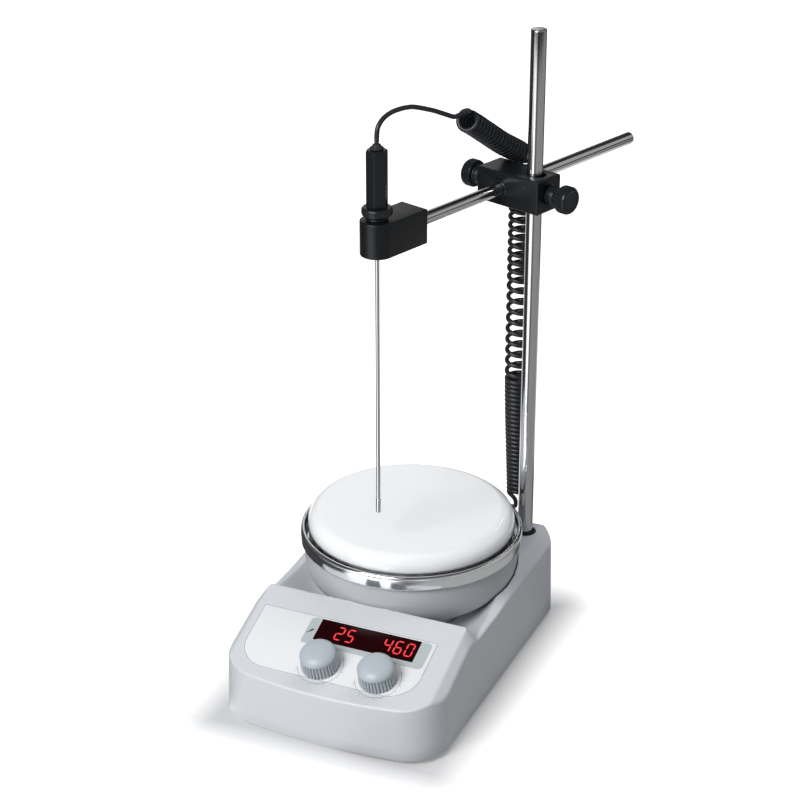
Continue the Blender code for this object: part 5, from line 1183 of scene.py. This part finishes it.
def lead_path(wire, curl):
    """The whole lead on one smooth line in the stand's frame, and where its runs part."""
    back = STAND.inverted()
    tail = [tuple(back @ Vector(point)) for point in TAIL_ROUTE]
    route = RISE_ROUTE[:-1] + FALL_ROUTE[:-1] + UPPER_ROUTE + HANG_ROUTE[1:] + tail[1:]
    ends = np.cumsum([len(part) for part in (RISE_ROUTE, FALL_ROUTE, UPPER_ROUTE, HANG_ROUTE)])
    knots = ends + (1, -2, -3, -4)
    axis = smooth_route(route, CURL_STEPS)
    along = distances(axis)
    joints = [along[knot * CURL_STEPS] for knot in knots]
    joints.insert(3, joints[2] + HANG_PART)
    first, last = joints[1] + 2 * wire, joints[4] + 3 * MM
    open_start = joints[2] + HANG_RUNS[0][1]
    open_end = open_start + HANG_RUNS[1][1]
    tight = HANG_RUNS[2][0]
    marks = [first, joints[2], open_start, open_end, last]
    counts = np.cumsum([0, UPPER_TURNS, HANG_RUNS[0][0], HANG_RUNS[1][0], tight])
    rate = np.gradient(np.interp(along, marks, counts), along)
    for ahead in (along - first, last - along):
        share = np.clip(ahead / CURL_BEND, 0.0, 0.999)
        rate = np.minimum(rate, share / np.sqrt(1 - share * share) / (2 * math.pi * curl))
    wound = np.concatenate([[0.0], np.cumsum(rate[1:] * np.diff(along))])
    radii = (np.interp(along, [joints[2] - 8 * MM, joints[2] + 6 * MM], [UPPER_SHARE * curl, curl])
             * smooth_step((along - first) / CURL_RISE + 1) * smooth_step((last - along) / CURL_RISE + 1))
    tangents = np.gradient(axis, axis=0)
    tangents /= np.linalg.norm(tangents, axis=1)[:, None]
    side = np.cross(tangents[0], (1.0, 0.0, 0.0))
    sides = []
    for tangent in tangents:
        side = side - tangent * np.dot(side, tangent)
        side /= np.linalg.norm(side)
        sides.append(side)
    sides = np.array(sides)
    crosses = np.cross(tangents, sides)
    needed = CURL_POINTS * wound + along / LEAD_STEP
    places = np.interp(np.arange(int(needed[-1])), needed, along)
    places = places[np.abs(places[:, None] - np.array(joints)).min(axis=1) > 0.05 * MM]
    places = np.unique(np.concatenate([places, joints, along[-1:]]))

    def at(values):
        return np.column_stack([np.interp(places, along, values[:, column]) for column in range(3)])

    angles = CURL_START + 2 * math.pi * np.interp(places, along, wound)
    reach = np.interp(places, along, radii)
    points = (at(axis) + at(sides) * (reach * np.cos(angles))[:, None]
              - at(crosses) * (reach * np.sin(angles))[:, None])
    cuts = [0] + [int(np.searchsorted(places, joint)) for joint in joints] + [len(points) - 1]
    return points, cuts


class STIRRER_OT_lead(Operator):
    """Builds the coiled sensor lead from the probe to its plug"""

    bl_idname = "stirrer.lead"
    bl_label = "Sensor lead"

    def execute(self, context):
        sizes = context.scene.stirrer_sizes
        wire = sizes.lead_radius
        points, cuts = lead_path(wire, sizes.curl_radius)
        points = points @ np.array(STAND.to_3x3()).T + np.array(STAND.translation)
        runs = [("lead_over", "probe", "probe_holder", "lead_rise"),
                ("lead_down", "probe_holder", "cross_arm", "lead_fall"),
                ("lead_curls_upper", "cross_arm", "boss", "lead_coil_upper"),
                ("lead_curls_hanging", "boss", "support_rod", "lead_coil_hanging"),
                ("lead_curls_foot", "support_rod", "base", "lead_coil_hanging"),
                ("lead_to_plug", "base", None, "lead_tail")]
        for index, (name, first, second, node) in enumerate(runs):
            run = points[cuts[index]:cuts[index + 1] + 1]
            line = bpy.data.curves.new(name, "CURVE")
            line.dimensions = "3D"
            spline = line.splines.new("POLY")
            spline.points.add(len(run) - 1)
            spline.points.foreach_set("co", np.column_stack([run, np.ones(len(run))]).ravel())
            piece = with_tree(new_piece(name, line), sheath_tree, Radius=wire, Finish=look("lead"))
            piece.data.shade_smooth()
            piece.data.set_sharp_from_angle(angle=math.radians(60))
            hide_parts(node)
            if second is None:
                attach(piece, first)
            else:
                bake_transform(piece)
        return {"FINISHED"}


class STIRRER_OT_inner_parts(Operator):
    """Gives every CAD node that stays its own finish"""

    bl_idname = "stirrer.inner_parts"
    bl_label = "Finishes of the CAD nodes"

    def execute(self, context):
        for row in frame["record"]["subparts"]:
            node = frame["nodes"][row["node"]]
            node.data.materials.clear()
            node.data.materials.append(look(SLOT_LOOKS[row["material_slot"]]))
        return {"FINISHED"}


class STIRRER_OT_stage(Operator):
    """Builds the floor, the lamps, the surroundings and the camera"""

    bl_idname = "stirrer.stage"
    bl_label = "Floor, lamps and camera"

    def execute(self, context):
        scene = context.scene
        scene.view_settings.view_transform = "Standard"
        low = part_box("foot_1")[0].z
        corners = [(-FLOOR_REACH, -FLOOR_REACH, low), (FLOOR_REACH, -FLOOR_REACH, low),
                   (FLOOR_REACH, FLOOR_REACH, low), (-FLOOR_REACH, FLOOR_REACH, low)]
        floor = new_piece("floor", mesh_from("floor", corners, [(0, 1, 2, 3)]))
        floor.data.materials.append(self.floor_finish())
        self.surroundings(scene)
        for name, place, size, power, mirrored in LAMPS:
            data = bpy.data.lights.new(name, "AREA")
            data.size = size
            data.energy = power
            self.aimed(name, data, place, LAMP_TARGET).visible_glossy = mirrored
        data = bpy.data.cameras.new("photo_camera")
        data.sensor_width = 36
        data.lens = CAMERA_LENS
        data.clip_start = 0.05
        data.clip_end = 20
        scene.camera = self.aimed("photo_camera", data, CAMERA_PLACE, CAMERA_TARGET)
        return {"FINISHED"}

    def aimed(self, name, data, place, target):
        """A lamp or a camera at a place, turned to a target."""
        made = new_piece(name, data)
        made.location = place
        made.rotation_euler = (Vector(target) - Vector(place)).to_track_quat("-Z", "Y").to_euler()
        return made

    def bands(self, tree, direction, stops):
        """Light and dark walls round the set, by their bearing, as bright metal mirrors them."""
        parts = add(tree, "ShaderNodeSeparateXYZ", {0: direction}).outputs
        bearing = maths(tree, "ARCTAN2", parts["X"], maths(tree, "MULTIPLY", parts["Y"], -1.0))
        turn = mapped(tree, bearing, 0.0, 1.0, -math.pi, math.pi)
        row = sorted(((bearing_deg + WALL_TURN_DEG + 180) % 360 / 360, value / WALL_STRENGTH)
                     for bearing_deg, value in stops)
        return ramp(tree, turn, row), parts["Z"]

    def floor_finish(self):
        """A pale floor with a painted shadow beside the housing on top of the lamps' soft shadow, that
        bright metal mirrors as the set's lower walls.
        """
        made = bpy.data.materials.new("floor")
        made.use_nodes = True
        tree = made.node_tree
        surface = fill(tree, tree.nodes["Principled BSDF"], {
            "Base Color": (0.43, 0.43, 0.435, 1), "Roughness": 0.9, "Specular IOR Level": 0.1})
        rays = add(tree, "ShaderNodeLightPath").outputs
        where = add(tree, "ShaderNodeTexCoord").outputs["Object"]
        # Painted shadow: the glow seen by the camera drops towards the housing's foot, deepening the lamps'
        # real shadow there
        across = vectors(tree, "ABSOLUTE", where)[0]
        outside = vectors(tree, "SUBTRACT", across, (HALF_WIDTH, REAR_Y, 1))[0]
        beside = vectors(tree, "LENGTH", vectors(tree, "MAXIMUM", outside, (0, 0, 0))[0])["Value"]
        shadow = mapped(tree, beside, PAINTED_SHADOW_GLOW, 1.0, 0.0, PAINTED_SHADOW_REACH)
        glow = output(tree, "ShaderNodeEmission", {
            "Strength": maths(tree, "MULTIPLY", rays["Is Camera Ray"], shadow)})
        lit = output(tree, "ShaderNodeAddShader", {0: surface.outputs[0], 1: glow})
        far = vectors(tree, "LENGTH", where)["Value"]
        near = add(tree, "ShaderNodeMix", {
            "Factor": ramp(tree, maths(tree, "MULTIPLY", far, 0.5), NEAR_SPAN),
            "A": self.bands(tree, where, FLOOR_WALLS)[0], "B": self.bands(tree, where, NEAR_WALLS)[0]},
            data_type="RGBA").outputs["Result"]
        mirrored = output(tree, "ShaderNodeEmission", {
            "Color": near, "Strength": mapped(tree, far, WALL_STRENGTH, 0.05, 3.0, 3.9)})
        choice = output(tree, "ShaderNodeMixShader", {0: rays["Is Glossy Ray"], 1: lit, 2: mirrored})
        fill(tree, tree.nodes["Material Output"], {"Surface": choice})
        return made

    def surroundings(self, scene):
        scene.world = bpy.data.worlds.new("studio")
        scene.world.use_nodes = True
        tree = scene.world.node_tree
        plain = fill(tree, tree.nodes["Background"], {"Color": (0.94, 0.97, 1.0, 1), "Strength": 0.27})
        white = output(tree, "ShaderNodeBackground", {"Color": (1, 1, 1, 1)})
        where = add(tree, "ShaderNodeTexCoord").outputs["Generated"]
        around, height = self.bands(tree, where, SKY_WALLS)
        shade = vectors(tree, "MULTIPLY", around, ramp(tree, height, SKY_SPAN))[0]
        walls = output(tree, "ShaderNodeBackground", {"Color": shade, "Strength": WALL_STRENGTH})
        rays = add(tree, "ShaderNodeLightPath").outputs
        mirror = output(tree, "ShaderNodeMixShader", {
            0: rays["Is Glossy Ray"], 1: plain.outputs[0], 2: walls})
        seen = output(tree, "ShaderNodeMixShader", {0: rays["Is Camera Ray"], 1: mirror, 2: white})
        fill(tree, tree.nodes["World Output"], {"Surface": seen})


class STIRRER_PT_pieces(Panel):
    """Lists the stirrer's pieces, sizes and colours"""

    bl_label = "Heated magnetic stirrer"
    bl_idname = "STIRRER_PT_pieces"
    bl_space_type = "VIEW_3D"
    bl_region_type = "UI"
    bl_category = "Stirrer"

    def draw(self, context):
        for settings in (context.scene.stirrer_sizes, context.scene.stirrer_colours):
            column = self.layout.column()
            for name in settings.__annotations__:
                column.prop(settings, name)
        column = self.layout.column()
        for operator in OPERATORS:
            column.operator(operator.bl_idname)


OPERATORS = (STIRRER_OT_stage, STIRRER_OT_inner_parts, STIRRER_OT_housing, STIRRER_OT_hot_plate,
             STIRRER_OT_panel, STIRRER_OT_knobs, STIRRER_OT_fittings, STIRRER_OT_stand, STIRRER_OT_probe,
             STIRRER_OT_lead)
CLASSES = (StirrerSizes, StirrerColours, *OPERATORS, STIRRER_PT_pieces)


def register():
    for item in CLASSES:
        bpy.utils.register_class(item)
    bpy.types.Scene.stirrer_sizes = PointerProperty(type=StirrerSizes)
    bpy.types.Scene.stirrer_colours = PointerProperty(type=StirrerColours)


def unregister():
    del bpy.types.Scene.stirrer_colours
    del bpy.types.Scene.stirrer_sizes
    for item in reversed(CLASSES):
        bpy.utils.unregister_class(item)


def main():
    register()
    for operator in OPERATORS:
        space, name = operator.bl_idname.split(".")
        result = getattr(getattr(bpy.ops, space), name)()
        if result != {"FINISHED"}:
            raise RuntimeError(f"{operator.bl_idname} didn't finish")


if __name__ == "__main__":
    main()
